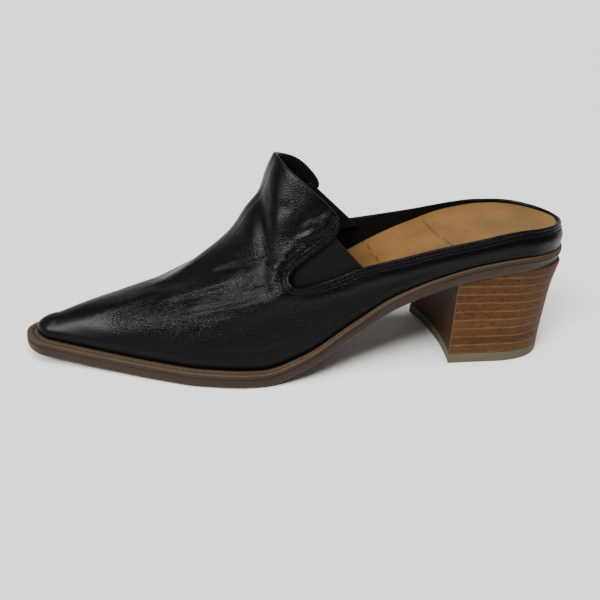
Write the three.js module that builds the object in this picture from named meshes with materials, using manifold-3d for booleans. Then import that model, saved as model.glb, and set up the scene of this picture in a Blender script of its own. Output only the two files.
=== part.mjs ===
import * as THREE from 'three';
import Module from 'manifold-3d';

// A left mule: a pointed leather upper, open behind the instep, on a stacked block heel.
// Millimetres, +Z up. The floor is z = 0, the toe points along -X and the lateral side is -Y.
// Lengths along the foot run from the back of the heel, 0, to the tip of the toe.

const wasm = await Module();
wasm.setup();

// Driving dimensions
const SHOE_LENGTH = 272;
const BALL_WIDTH = 81.7;
const HEEL_HEIGHT = 54;
const INSTEP_HEIGHT = 101;
const TOE_SPRING = 5;
const WALL = 1.8;
const GORE_THICKNESS = 1.2;
const CLEARANCE = 0.3;
const OUTSOLE_THICKNESS = 4.8;
const OUTSOLE_EDGE_RADIUS = 1.8;
const WELT_THICKNESS = 2;
const WELT_LEDGE = 3.4;
const WELT_STEP = 0.3;
const WELT_CHAMFER = 0.5;
const WELT_SEAT = 2.5;
const FOOTBED_THICKNESS = 11.5;
const FOOTBED_LAP = 0.8;
const HEEL_ROUNDING = 36;
const HEEL_FULLNESS = 2.3;
const TOE_ROUNDING = 9;
const TOE_ZONE = 24;
const HEEL_BREAST = 66;
const BREAST_DEPTH = 3.5;
const BREAST_SLANT = 3.5;
const HEEL_TAPER = 0.2;
const HEEL_WAIST = 1.5;
const STACK_FULLNESS = 3;
const HEEL_LAYERS = 10;
const LAYER_GROOVE = 0.35;
const TOP_PIECE_THICKNESS = 5.5;
const TOP_PIECE_CHAMFER = 0.6;
const GORE_LAP = 5.5;

// Reach of the cutting solids past the shoe, and the share of the ball width, on each side of
// the centre line, over which the throat's cutter turns from one side's edge to the other's
const BEYOND = 30;
const CUTTER_TOP = 2 * INSTEP_HEIGHT;
const CROSSING = 0.15;
const PRISM_START = 0.05;

// Steps of the faceted surfaces
const HEEL_STEPS = 8;
const MIDDLE_STEPS = 27;
const TOE_ZONE_STEPS = 3;
const TOE_STEPS = 5;
const SECTION_STEPS = 12;
const BREAST_STEPS = 6;
const TOPLINE_STEPS = 40;
const POCKET_STEPS = 22;
const CURVE_START = 0.08;

const MATERIALS = {
  leather: { color: 0x15191b, roughness: 0.32, metalness: 0 },
  elastic: { color: 0x1b1c1e, roughness: 0.9, metalness: 0 },
  welt: { color: 0xa8906c, roughness: 0.6, metalness: 0 },
  outsole: { color: 0x6f5643, roughness: 0.55, metalness: 0 },
  stack: { color: 0x8c6644, roughness: 0.5, metalness: 0 },
  topPiece: { color: 0x8a7d62, roughness: 0.7, metalness: 0 },
  sock: { color: 0xb8935c, roughness: 0.6, metalness: 0 },
};

// A table names its columns once and holds a row for each section.
function table(columns, rows) {
  return rows.map((row) => Object.fromEntries(columns.map((name, i) => [name, row[i]])));
}

// Edge of the sole. Along: share of the length. Sides: shares of the ball width.
const PLAN = table(['along', 'lateral', 'medial'], [
  [0.00, 0.270, 0.349],
  [0.06, 0.312, 0.382],
  [0.12, 0.332, 0.386],
  [0.20, 0.332, 0.379],
  [0.28, 0.335, 0.350],
  [0.36, 0.349, 0.339],
  [0.45, 0.405, 0.376],
  [0.54, 0.474, 0.447],
  [0.62, 0.500, 0.500],
  [0.70, 0.465, 0.496],
  [0.78, 0.378, 0.420],
  [0.86, 0.275, 0.306],
  [0.93, 0.192, 0.201],
  [1.00, 0.120, 0.110],
]);

// Lower face of the sole. Rise: share of the heel height. Spring: share of the toe spring.
const PROFILE = table(['along', 'rise', 'spring'], [
  [0.00, 1.000, 0],
  [0.10, 0.985, 0],
  [0.20, 0.905, 0],
  [0.28, 0.785, 0],
  [0.36, 0.615, 0],
  [0.44, 0.372, 0],
  [0.52, 0.130, 0],
  [0.60, 0, 0],
  [0.70, 0, 0],
  [0.78, 0, 0.06],
  [0.86, 0, 0.20],
  [0.93, 0, 0.50],
  [1.00, 0, 1.00],
]);

// Ledge: width of the welt beside the upper, as a share of the welt ledge.
// Footbed: thickness of the footbed, as a share of its thickness at the heel.
const LAYERS = table(['along', 'ledge', 'footbed'], [
  [0.00, 0.30, 1.00],
  [0.20, 0.34, 1.00],
  [0.30, 0.40, 0.94],
  [0.40, 0.65, 0.84],
  [0.50, 0.92, 0.60],
  [0.60, 1.20, 0.38],
  [0.80, 1.35, 0.28],
  [1.00, 1.40, 0.24],
]);

// Top of the last over its centre. Behind the instep it rises to the leg and is cut away.
// Height: share of the instep height. Centre: share of the ball width, towards the medial side.
// Sides: how full the section is, from a wedge at 1 to a box.
const SPINE = table(['along', 'height', 'centre', 'lateral', 'medial'], [
  [0.000, 1.180, 0.020, 1.22, 1.22],
  [0.110, 1.180, 0.020, 1.22, 1.22],
  [0.160, 1.220, 0.020, 1.42, 1.48],
  [0.300, 1.340, 0.025, 1.42, 1.45],
  [0.400, 1.400, 0.030, 1.42, 1.42],
  [0.500, 1.360, 0.040, 1.36, 1.36],
  [0.545, 1.150, 0.050, 1.45, 1.45],
  [0.577, 0.990, 0.055, 1.55, 1.55],
  [0.603, 0.815, 0.055, 1.65, 1.60],
  [0.640, 0.632, 0.050, 1.75, 1.65],
  [0.700, 0.482, 0.045, 1.85, 1.70],
  [0.770, 0.358, 0.035, 1.95, 1.80],
  [0.840, 0.288, 0.020, 2.00, 1.90],
  [0.900, 0.240, 0.010, 2.00, 2.00],
  [0.940, 0.202, 0.000, 2.00, 2.00],
  [1.000, 0.135, -0.004, 2.00, 2.00],
]);

// Top edge of the leather seen from the side, from the back of the heel to the peak of the tongue.
// Along: share of the length. Sides: shares of the instep height.
const COLLAR = table(['along', 'lateral', 'medial'], [
  [0.000, 0.733, 0.733],
  [0.080, 0.733, 0.733],
  [0.150, 0.720, 0.716],
  [0.220, 0.678, 0.687],
  [0.295, 0.634, 0.657],
  [0.365, 0.586, 0.631],
  [0.440, 0.545, 0.598],
]);
const TONGUE = table(['along', 'lateral', 'medial'], [
  [0.475, 0.735, 0.792],
  [0.478, 0.772, 0.818],
  [0.487, 0.804, 0.852],
  [0.508, 0.852, 0.908],
  [0.528, 0.892, 0.942],
  [0.545, 0.925, 0.960],
  [0.562, 0.956, 0.974],
  [0.577, 0.992, 0.992],
]);

// The pocket that the gore fills, round from the tongue to the nose and back along the collar.
// Alongs: shares of the length. Heights: shares of the instep height.
const POCKET = table(['along', 'height', 'medialAlong', 'medialHeight'], [
  [0.475, 0.735, 0.475, 0.790],
  [0.484, 0.688, 0.479, 0.775],
  [0.500, 0.652, 0.500, 0.707],
  [0.524, 0.606, 0.524, 0.661],
  [0.541, 0.569, 0.541, 0.624],
  [0.553, 0.537, 0.553, 0.592],
  [0.558, 0.505, 0.558, 0.560],
  [0.553, 0.483, 0.553, 0.538],
  [0.540, 0.475, 0.540, 0.530],
  [0.506, 0.487, 0.506, 0.542],
  [0.470, 0.512, 0.470, 0.567],
  [0.440, 0.545, 0.4155, 0.609],
]);

// Centres of the fans that close the form at the heel and at the toe, from each end
const HEEL_FAN = 32;
const TOE_FAN = 15;
const FAN_SPREAD = 0.12;

// Monotone cubic through one column of a table
function smooth(rows, column, share) {
  const x = Math.min(Math.max(share, rows[0].along), rows[rows.length - 1].along);
  const step = (i) => rows[i + 1].along - rows[i].along;
  const rise = (i) => (rows[i + 1][column] - rows[i][column]) / step(i);
  const last = rows.length - 1;
  const tangent = (i) => {
    if (i === 0) return rise(0);
    if (i === last) return rise(last - 1);
    const before = rise(i - 1);
    const after = rise(i);
    if (before * after <= 0) return 0;
    const a = 2 * step(i) + step(i - 1);
    const b = step(i) + 2 * step(i - 1);
    return (a + b) / (a / before + b / after);
  };
  let i = 0;
  while (i < last - 1 && x > rows[i + 1].along) i += 1;
  const h = step(i);
  const t = (x - rows[i].along) / h;
  const from = rows[i][column] * (1 + 2 * t) * (1 - t) ** 2;
  const to = rows[i + 1][column] * t * t * (3 - 2 * t);
  return from + to + h * (tangent(i) * t * (1 - t) ** 2 + tangent(i + 1) * t * t * (t - 1));
}

const soleBottom = (s) => HEEL_HEIGHT * smooth(PROFILE, 'rise', s / SHOE_LENGTH)
  + TOE_SPRING * smooth(PROFILE, 'spring', s / SHOE_LENGTH);
const outsoleTop = (s) => soleBottom(s) + OUTSOLE_THICKNESS;
const weltTop = (s) => outsoleTop(s) + CLEARANCE + WELT_THICKNESS;
const upperFoot = (s) => weltTop(s) + CLEARANCE;
const footbedTop = (s) => upperFoot(s) + FOOTBED_THICKNESS * smooth(LAYERS, 'footbed', s / SHOE_LENGTH);
const ledgeAt = (s) => WELT_LEDGE * smooth(LAYERS, 'ledge', s / SHOE_LENGTH);
const flush = () => 0;

// Rounds a half width to nothing over a length at the end of the shoe
function endRounding(distance, length, fullness) {
  const u = 1 - Math.min(Math.max(distance / length, 0), 1);
  return (1 - u ** fullness) ** (1 / fullness);
}

// Stations and half widths of an outline that lies a margin inside the edge of the sole. The
// stations between the two ends are the same for every margin, so that offset forms stay parallel.
function outline(margin) {
  const start = margin(0);
  const end = SHOE_LENGTH - margin(SHOE_LENGTH);
  const heel = HEEL_ROUNDING - start;
  const toe = Math.max(TOE_ROUNDING - (SHOE_LENGTH - end) / 2, 3);
  const toeZone = SHOE_LENGTH - TOE_ZONE;
  const stations = [];
  for (let i = 0; i < HEEL_STEPS; i += 1) {
    const turn = CURVE_START + (1 - CURVE_START) * (i / HEEL_STEPS);
    stations.push(start + heel * (1 - Math.cos(turn * Math.PI / 2)));
  }
  for (let i = 0; i < MIDDLE_STEPS; i += 1) {
    stations.push(HEEL_ROUNDING + (toeZone - HEEL_ROUNDING) * (i / MIDDLE_STEPS));
  }
  for (let i = 0; i < TOE_ZONE_STEPS; i += 1) {
    stations.push(toeZone + (end - toe - toeZone) * (i / TOE_ZONE_STEPS));
  }
  for (let i = 0; i <= TOE_STEPS; i += 1) {
    const turn = CURVE_START + (1 - CURVE_START) * (1 - i / TOE_STEPS);
    stations.push(end - toe * (1 - Math.cos(turn * Math.PI / 2)));
  }
  return stations.map((s) => {
    const ends = endRounding(s - start, heel, HEEL_FULLNESS) * endRounding(end - s, toe, 2);
    const width = (side) => (BALL_WIDTH * smooth(PLAN, side, s / SHOE_LENGTH) - margin(s)) * ends;
    return { s, lateral: width('lateral'), medial: width('medial') };
  });
}

const place = (s, y, z) => [SHOE_LENGTH / 2 - s, y, z];

// A closed ring of points round the shoe, out along the lateral side and back along the medial
function ring(stations, height) {
  const lateral = stations.map((p) => place(p.s, -p.lateral, height(p.s)));
  const medial = stations.map((p) => place(p.s, p.medial, height(p.s)));
  return lateral.concat(medial.reverse());
}

// Indexed geometry with its faces pointing out
function closedGeometry(points, faces) {
  let volume = 0;
  const a = new THREE.Vector3();
  const b = new THREE.Vector3();
  const c = new THREE.Vector3();
  for (const [i, j, k] of faces) {
    volume += a.fromArray(points[i]).dot(b.fromArray(points[j]).cross(c.fromArray(points[k])));
  }
  const outward = volume > 0 ? faces : faces.map(([i, j, k]) => [i, k, j]);
  const geometry = new THREE.BufferGeometry();
  geometry.setAttribute('position', new THREE.Float32BufferAttribute(points.flat(), 3));
  geometry.setIndex(outward.flat());
  geometry.computeVertexNormals();
  return geometry;
}

function wallFaces(rings, count, closed) {
  const faces = [];
  const last = closed ? rings : rings - 1;
  for (let r = 0; r < last; r += 1) {
    for (let i = 0; i < count; i += 1) {
      const a = r * count + i;
      const b = r * count + (i + 1) % count;
      const c = ((r + 1) % rings) * count + (i + 1) % count;
      const d = ((r + 1) % rings) * count + i;
      faces.push([a, b, c], [a, c, d]);
    }
  }
  return faces;
}

// Cap of a ring that pairs each lateral point with its medial one
function pairedCap(first, count, flip) {
  const faces = [];
  for (let i = 0; i < count / 2 - 1; i += 1) {
    const [a, b] = [first + i, first + i + 1];
    const [c, d] = [first + count - 2 - i, first + count - 1 - i];
    faces.push([a, c, b], [a, d, c]);
  }
  return flip ? faces.map(([i, j, k]) => [i, k, j]) : faces;
}

// Cap of any flat ring, triangulated in the plane of two of its coordinates
function flatCap(points, first, axes, flip) {
  const flat = points.map((p) => new THREE.Vector2(p[axes[0]], p[axes[1]]));
  const turn = (corners) => Math.sign(THREE.ShapeUtils.area(corners));
  const along = turn(flat);
  return THREE.ShapeUtils.triangulateShape(flat, []).map(([i, j, k]) => {
    const forward = turn([flat[i], flat[j], flat[k]]) === along;
    return forward === flip ? [first + i, first + k, first + j] : [first + i, first + j, first + k];
  });
}

// A solid through rings that pair their sides
function pairedLoft(rings) {
  const count = rings[0].length;
  const faces = wallFaces(rings.length, count, false);
  faces.push(...pairedCap(0, count, false));
  faces.push(...pairedCap((rings.length - 1) * count, count, true));
  return closedGeometry(rings.flat(), faces);
}

// A solid through rings of any outline. The axes are the two that its end rings lie in.
function flatLoft(rings, axes) {
  const count = rings[0].length;
  const top = (rings.length - 1) * count;
  const faces = wallFaces(rings.length, count, false);
  faces.push(...flatCap(rings[0], 0, axes, true));
  faces.push(...flatCap(rings[rings.length - 1], top, axes, false));
  return closedGeometry(rings.flat(), faces);
}

// A strip round the shoe: the rings are the corners of its section, in order
function ringSweep(rings) {
  return closedGeometry(rings.flat(), wallFaces(rings.length, rings[0].length, true));
}

function solid(geometry) {
  return new wasm.Manifold(new wasm.Mesh({
    numProp: 3,
    vertProperties: new Float32Array(geometry.attributes.position.array),
    triVerts: new Uint32Array(geometry.index.array),
  }));
}

function geometryOf(body) {
  const mesh = body.getMesh();
  const geometry = new THREE.BufferGeometry();
  geometry.setAttribute('position', new THREE.BufferAttribute(new Float32Array(mesh.vertProperties), 3));
  geometry.setIndex(new THREE.BufferAttribute(new Uint32Array(mesh.triVerts), 1));
  geometry.computeVertexNormals();
  return geometry;
}

// Where the section at a station meets the spine, gathered into fans at both ends
function spineStation(s) {
  const toe = SHOE_LENGTH - TOE_FAN;
  if (s < HEEL_FAN) return HEEL_FAN - (HEEL_FAN - s) * FAN_SPREAD;
  return s > toe ? toe + (s - toe) * FAN_SPREAD : s;
}

// The form of the last, a depth inside the leather's outer face. A skirt carries a form that
// cuts straight down through the foot of the upper.
function lastForm(depth, skirt) {
  const base = outline((s) => ledgeAt(s) + depth);
  const spine = base.map(({ s }) => {
    const at = spineStation(s);
    const height = (where) => INSTEP_HEIGHT * smooth(SPINE, 'height', where / SHOE_LENGTH);
    const slope = (height(at + 1) - height(at - 1)) / 2;
    return {
      at,
      y: BALL_WIDTH * smooth(SPINE, 'centre', at / SHOE_LENGTH),
      z: height(at) - depth * Math.hypot(1, slope),
    };
  });
  const points = skirt > 0 ? ring(base, (s) => upperFoot(s) - skirt) : [];
  for (let v = 0; v < SECTION_STEPS; v += 1) {
    const turn = (v / SECTION_STEPS) * Math.PI / 2;
    const side = (p, i, name, sign) => {
      const full = smooth(SPINE, name, spine[i].at / SHOE_LENGTH);
      const inward = 1 - Math.cos(turn) ** (2 / full);
      const upward = Math.sin(turn) ** (2 / full);
      const y = sign * p[name];
      return place(
        p.s + (spine[i].at - p.s) * inward,
        y + (spine[i].y - y) * inward,
        upperFoot(p.s) + (spine[i].z - upperFoot(p.s)) * upward,
      );
    };
    const lateral = base.map((p, i) => side(p, i, 'lateral', -1));
    const medial = base.map((p, i) => side(p, i, 'medial', 1));
    points.push(...lateral, ...medial.reverse());
  }
  const count = base.length * 2;
  const rings = points.length / count;
  const faces = wallFaces(rings, count, false);
  faces.push(...pairedCap(0, count, false));
  const crest = points.length;
  points.push(...spine.map((p) => place(p.at, p.y, p.z)));
  const top = (rings - 1) * count;
  for (let i = 0; i < base.length - 1; i += 1) {
    const [a, b] = [top + i, top + i + 1];
    const [c, d] = [top + count - 2 - i, top + count - 1 - i];
    faces.push([a, b, crest + i + 1], [a, crest + i + 1, crest + i]);
    faces.push([c, d, crest + i], [c, crest + i, crest + i + 1]);
  }
  faces.push([top, crest, top + count - 1]);
  faces.push([top + base.length - 1, top + base.length, crest + base.length - 1]);
  return solid(closedGeometry(points, faces));
}

// Points of a side view from two columns of a table
function sideKnots(rows, along, height) {
  return rows.map((row) => new THREE.Vector2(row[along] * SHOE_LENGTH, row[height] * INSTEP_HEIGHT));
}

// Points of a smooth curve through the knots of a side view
function sideCurve(knots, steps) {
  return new THREE.SplineCurve(knots).getPoints(steps).map((p) => [p.x, p.y]);
}

function pocketKnots(side) {
  return side > 0 ? sideKnots(POCKET, 'medialAlong', 'medialHeight') : sideKnots(POCKET, 'along', 'height');
}

// All that lies above the top edge of the leather. Over the centre line it turns from one
// side's edge to the other's. The straight stretch over each gore is the gore's free edge.
function aboveTopline() {
  const edge = (column) => {
    const collar = sideCurve(sideKnots(COLLAR, 'along', column), TOPLINE_STEPS / 2);
    const tongue = sideCurve(sideKnots(TONGUE, 'along', column), TOPLINE_STEPS / 2);
    const peak = tongue[tongue.length - 1];
    return [
      [-BEYOND, collar[0][1]],
      ...collar,
      ...tongue,
      [peak[0] + BEYOND, peak[1] + BEYOND],
      [peak[0] + BEYOND, CUTTER_TOP],
      [-BEYOND, CUTTER_TOP],
    ];
  };
  const lateral = edge('lateral');
  const medial = edge('medial');
  const reach = BALL_WIDTH;
  const turn = CROSSING * BALL_WIDTH;
  const ease = (y) => THREE.MathUtils.smoothstep(y, -turn, turn);
  const slices = [-reach, -turn, -turn / 2, 0, turn / 2, turn, reach].map((y) => [y, ease(y)]);
  return solid(flatLoft(slices.map(([y, share]) => lateral.map(([s, z], i) => {
    const other = medial[i];
    return place(s + (other[0] - s) * share, y, z + (other[1] - z) * share);
  })), [0, 2]));
}

// A side view outline carried straight out through one side of the upper
function sidePrism(points, side) {
  const from = side * PRISM_START * BALL_WIDTH;
  const to = side * BALL_WIDTH;
  return solid(flatLoft([from, to].map((y) => points.map(([s, z]) => place(s, y, z))), [0, 2]));
}

// The pocket, open past its free edge so that nothing is left between gore and throat
function pocketOutline(side) {
  const curve = sideCurve(pocketKnots(side), POCKET_STEPS);
  const [first, last] = [curve[0], curve[curve.length - 1]];
  const back = last[0] - first[0];
  return [...curve, [last[0] + back / 2, last[1]], [first[0] + back / 2, first[1]]];
}

// The gore's own outline: its free edge crosses the pocket's mouth, its rest laps under leather
function goreOutline(side) {
  const knots = pocketKnots(side);
  const knot = (i) => [knots[i].x, knots[i].y];
  const upper = knot(1);
  const corner = knot(knots.length - 1);
  const lower = [corner[0] - GORE_LAP / 2, corner[1]];
  const length = Math.hypot(upper[0] - lower[0], upper[1] - lower[1]);
  const along = [(upper[0] - lower[0]) / length, (upper[1] - lower[1]) / length];
  const out = (p, a, b) => [p[0] + a, p[1] + b];
  const nose = knots.reduce((most, p, i) => (p.x > knots[most].x ? i : most), 0);
  const diagonal = GORE_LAP * Math.SQRT1_2;
  return [
    out(upper, GORE_LAP * along[0], GORE_LAP * along[1]),
    out(knot(nose - 3), diagonal, diagonal),
    out(knot(nose), GORE_LAP, GORE_LAP / 2),
    out(knot(nose + 1), diagonal, -diagonal),
    out(knot(nose + 3), 0, -GORE_LAP),
    out(lower, -GORE_LAP * along[0], -GORE_LAP * along[1]),
  ];
}

// All the space under the shoe's surface at a height that changes along the foot
function spaceUnder(height) {
  const wide = outline(() => -BEYOND / 3);
  return solid(pairedLoft([ring(wide, () => -BEYOND), ring(wide, height)]));
}

// All the space over it
function spaceOver(height) {
  const wide = outline(() => -BEYOND / 3);
  return solid(pairedLoft([ring(wide, height), ring(wide, () => CUTTER_TOP)]));
}

function outsole() {
  const r = OUTSOLE_EDGE_RADIUS;
  const edge = [[1, 0], [0.3, 0.2], [0, 1]];
  const rings = edge.map(([inside, up]) => ring(outline(() => r * inside), (s) => soleBottom(s) + r * up));
  rings.push(ring(outline(flush), outsoleTop));
  return pairedLoft(rings);
}

const weltHole = (s) => ledgeAt(s) + WALL + WELT_SEAT;

function welt() {
  const foot = (s) => outsoleTop(s) + CLEARANCE;
  const edge = outline(() => WELT_STEP);
  return ringSweep([
    ring(edge, foot),
    ring(edge, (s) => weltTop(s) - WELT_CHAMFER),
    ring(outline(() => WELT_STEP + WELT_CHAMFER), weltTop),
    ring(outline(weltHole), weltTop),
    ring(outline(weltHole), foot),
  ]);
}

// The heel's outline at a height, a margin inside its own side
function heelOutline(z, margin) {
  const up = z / HEEL_HEIGHT;
  const inside = HEEL_TAPER * (1 - up) + HEEL_WAIST * Math.sin(Math.PI * up) + margin;
  const front = HEEL_BREAST - BREAST_SLANT * (1 - up) - margin;
  const round = HEEL_ROUNDING - inside;
  const half = (side, s) => (BALL_WIDTH * smooth(PLAN, side, s / SHOE_LENGTH) - inside)
    * endRounding(s - inside, round, STACK_FULLNESS);
  const stations = [];
  for (let i = 0; i < HEEL_STEPS; i += 1) {
    const turn = CURVE_START + (1 - CURVE_START) * (i / HEEL_STEPS);
    stations.push(inside + round * (1 - Math.cos(turn * Math.PI / 2)));
  }
  stations.push(inside + round, (inside + round + front) / 2);
  const lateral = stations.map((s) => place(s, -half('lateral', s), z));
  const medial = stations.map((s) => place(s, half('medial', s), z));
  const [left, right] = [-half('lateral', front), half('medial', front)];
  const breast = [];
  for (let i = 0; i <= BREAST_STEPS; i += 1) {
    const across = i / BREAST_STEPS;
    const hollow = BREAST_DEPTH * (1 - (2 * across - 1) ** 2);
    breast.push(place(front - hollow, left + (right - left) * across, z));
  }
  return [...lateral, ...breast, ...medial.reverse()];
}

// Stacked layers with a shallow groove at each joint, cut off under the sole's seat
function heelStack() {
  const foot = TOP_PIECE_THICKNESS + CLEARANCE;
  const layer = (HEEL_HEIGHT - foot) / HEEL_LAYERS;
  const rings = [];
  for (let i = 0; i < HEEL_LAYERS; i += 1) {
    const z = foot + i * layer;
    rings.push(heelOutline(z, LAYER_GROOVE), heelOutline(z + layer / 2, 0));
  }
  rings.push(heelOutline(HEEL_HEIGHT, LAYER_GROOVE));
  const seat = spaceOver((s) => soleBottom(s) - CLEARANCE);
  return geometryOf(solid(flatLoft(rings, [0, 1])).subtract(seat));
}

function heelTopPiece() {
  const c = TOP_PIECE_CHAMFER;
  return flatLoft([
    heelOutline(0, c),
    heelOutline(c, 0),
    heelOutline(TOP_PIECE_THICKNESS - c / 2, 0),
    heelOutline(TOP_PIECE_THICKNESS, c / 2),
  ], [0, 1]);
}

const throat = aboveTopline();

function upper() {
  const hollow = lastForm(WALL, OUTSOLE_THICKNESS);
  const pockets = [-1, 1].map((side) => sidePrism(pocketOutline(side), side));
  let shell = lastForm(0, 0).subtract(hollow).subtract(throat);
  for (const pocket of pockets) shell = shell.subtract(pocket);
  return geometryOf(shell);
}

function gore(side) {
  const outside = lastForm(WALL + CLEARANCE, 0);
  const inside = lastForm(WALL + CLEARANCE + GORE_THICKNESS, OUTSOLE_THICKNESS);
  return geometryOf(outside.subtract(inside).intersect(sidePrism(goreOutline(side), side)));
}

// The footbed fills the upper's foot, and its underside goes down inside the welt
function footbed() {
  const body = lastForm(WALL + CLEARANCE, 0).intersect(spaceUnder(footbedTop));
  const hole = outline((s) => weltHole(s) + CLEARANCE);
  const plug = solid(pairedLoft([
    ring(hole, (s) => outsoleTop(s) + CLEARANCE),
    ring(hole, (s) => upperFoot(s) + FOOTBED_LAP),
  ]));
  return geometryOf(body.add(plug));
}

const mule = new THREE.Group();

function addPiece(name, geometry, finish) {
  const piece = new THREE.Mesh(geometry, new THREE.MeshStandardMaterial(MATERIALS[finish]));
  piece.name = name;
  mule.add(piece);
}

addPiece('outsole', outsole(), 'outsole');
addPiece('welt', welt(), 'welt');
addPiece('heel_stack', heelStack(), 'stack');
addPiece('heel_top_piece', heelTopPiece(), 'topPiece');
addPiece('upper', upper(), 'leather');
addPiece('gore_lateral', gore(-1), 'elastic');
addPiece('gore_medial', gore(1), 'elastic');
addPiece('insole', footbed(), 'sock');

export default mule;
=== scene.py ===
import math

import bpy
import numpy as np
from bpy.props import FloatProperty, FloatVectorProperty, IntProperty, PointerProperty
from mathutils import Matrix, Vector, noise
from mathutils.bvhtree import BVHTree


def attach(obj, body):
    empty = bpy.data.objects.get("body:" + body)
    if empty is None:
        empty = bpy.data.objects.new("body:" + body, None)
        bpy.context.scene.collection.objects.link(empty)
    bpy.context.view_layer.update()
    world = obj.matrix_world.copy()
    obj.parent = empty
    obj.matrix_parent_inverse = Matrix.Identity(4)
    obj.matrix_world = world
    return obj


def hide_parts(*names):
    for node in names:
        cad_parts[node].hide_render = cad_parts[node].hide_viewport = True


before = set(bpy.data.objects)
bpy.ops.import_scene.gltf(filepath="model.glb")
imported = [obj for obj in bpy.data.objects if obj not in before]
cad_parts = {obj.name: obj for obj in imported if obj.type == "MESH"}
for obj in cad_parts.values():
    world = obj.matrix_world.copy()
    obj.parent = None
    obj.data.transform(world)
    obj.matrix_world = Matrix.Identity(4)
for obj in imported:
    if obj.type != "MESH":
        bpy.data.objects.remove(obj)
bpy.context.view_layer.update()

bl_info = {
    "name": "Mule shoe",
    "version": (1, 0, 0),
    "blender": (4, 5, 0),
    "location": "3D View > Sidebar > Mule",
    "description": "Dresses a leather mule: upper, gores, stitching, footbed, welt, sole and heel",
    "category": "Object",
}

# Sizes are millimetres in the functions that shape the shoe and metres in Blender.
# Distances along the shoe run from the back of the heel to the tip of the toe.
MM = 0.001
SHOE_LENGTH = 272.0
BALL_WIDTH = 81.7
HEEL_HEIGHT = 54.0
INSTEP_HEIGHT = 101.0
TOE_SPRING = 5.0
WALL = 1.8
GORE_THICKNESS = 1.2
CLEARANCE = 0.3
OUTSOLE_THICKNESS = 4.8
OUTSOLE_EDGE_RADIUS = 1.8
WELT_THICKNESS = 2.0
WELT_LEDGE = 3.4
WELT_STEP = 0.3
WELT_SEAT = 2.5
FOOTBED_THICKNESS = 11.5
HEEL_ROUNDING = 36.0
HEEL_FULLNESS = 2.3
TOE_ROUNDING = 9.0
HEEL_BREAST = 66.0
BREAST_DEPTH = 3.5
BREAST_SLANT = 3.5
HEEL_TAPER = 0.2
HEEL_WAIST = 1.5
STACK_FULLNESS = 3.0
HEEL_LAYERS = 10
TOP_PIECE_THICKNESS = 5.5
GORE_LAP = 5.5
CROSSING = 0.15
HEEL_FAN = 32.0
TOE_FAN = 15.0
FAN_SPREAD = 0.12

LATERAL, MEDIAL = -1, 1
RISE, SPRING = 1, 2
LEDGE, FOOTBED = 1, 2
HEIGHT, CENTRE = 1, 2

# Edge of the sole: share of the length, then lateral and medial shares of the ball width
PLAN = np.array((
    (0.00, 0.270, 0.349), (0.06, 0.312, 0.382), (0.12, 0.332, 0.386), (0.20, 0.332, 0.379),
    (0.28, 0.335, 0.350), (0.36, 0.349, 0.339), (0.45, 0.405, 0.376), (0.54, 0.474, 0.447),
    (0.62, 0.500, 0.500), (0.70, 0.465, 0.496), (0.78, 0.378, 0.420), (0.86, 0.275, 0.306),
    (0.93, 0.192, 0.201), (1.00, 0.120, 0.110),
))
# Lower face of the sole: share of the length, of the heel height and of the toe spring
PROFILE = np.array((
    (0.00, 1.000, 0), (0.10, 0.985, 0), (0.20, 0.905, 0), (0.28, 0.785, 0), (0.36, 0.615, 0),
    (0.44, 0.372, 0), (0.52, 0.130, 0), (0.60, 0, 0), (0.70, 0, 0), (0.78, 0, 0.06),
    (0.86, 0, 0.20), (0.93, 0, 0.50), (1.00, 0, 1.00),
))
# Width of the welt beside the upper and thickness of the footbed, as shares of their sizes
LAYERS = np.array((
    (0.00, 0.30, 1.00), (0.20, 0.34, 1.00), (0.30, 0.40, 0.94), (0.40, 0.65, 0.84),
    (0.50, 0.92, 0.60), (0.60, 1.20, 0.38), (0.80, 1.35, 0.28), (1.00, 1.40, 0.24),
))
# Top of the last: height, centre, and how full the section is on each side
SPINE = np.array((
    (0.000, 1.180, 0.020, 1.22, 1.22), (0.110, 1.180, 0.020, 1.22, 1.22),
    (0.160, 1.220, 0.020, 1.42, 1.48), (0.300, 1.340, 0.025, 1.42, 1.45),
    (0.400, 1.400, 0.030, 1.42, 1.42), (0.500, 1.360, 0.040, 1.36, 1.36),
    (0.545, 1.150, 0.050, 1.45, 1.45), (0.577, 0.990, 0.055, 1.55, 1.55),
    (0.603, 0.815, 0.055, 1.65, 1.60), (0.640, 0.632, 0.050, 1.75, 1.65),
    (0.700, 0.482, 0.045, 1.85, 1.70), (0.770, 0.358, 0.035, 1.95, 1.80),
    (0.840, 0.288, 0.020, 2.00, 1.90), (0.900, 0.240, 0.010, 2.00, 2.00),
    (0.940, 0.202, 0.000, 2.00, 2.00), (1.000, 0.135, -0.004, 2.00, 2.00),
))
# Top edge of the leather from the side: share of the length, shares of the instep height
COLLAR = np.array((
    (0.000, 0.733, 0.733), (0.080, 0.733, 0.733), (0.150, 0.720, 0.716), (0.220, 0.678, 0.687),
    (0.295, 0.634, 0.657), (0.365, 0.586, 0.631), (0.440, 0.545, 0.598),
))
TONGUE = np.array((
    (0.475, 0.735, 0.792), (0.478, 0.772, 0.818), (0.487, 0.804, 0.852), (0.508, 0.852, 0.908),
    (0.528, 0.892, 0.942), (0.545, 0.925, 0.960), (0.562, 0.956, 0.974), (0.577, 0.992, 0.992),
))
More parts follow.
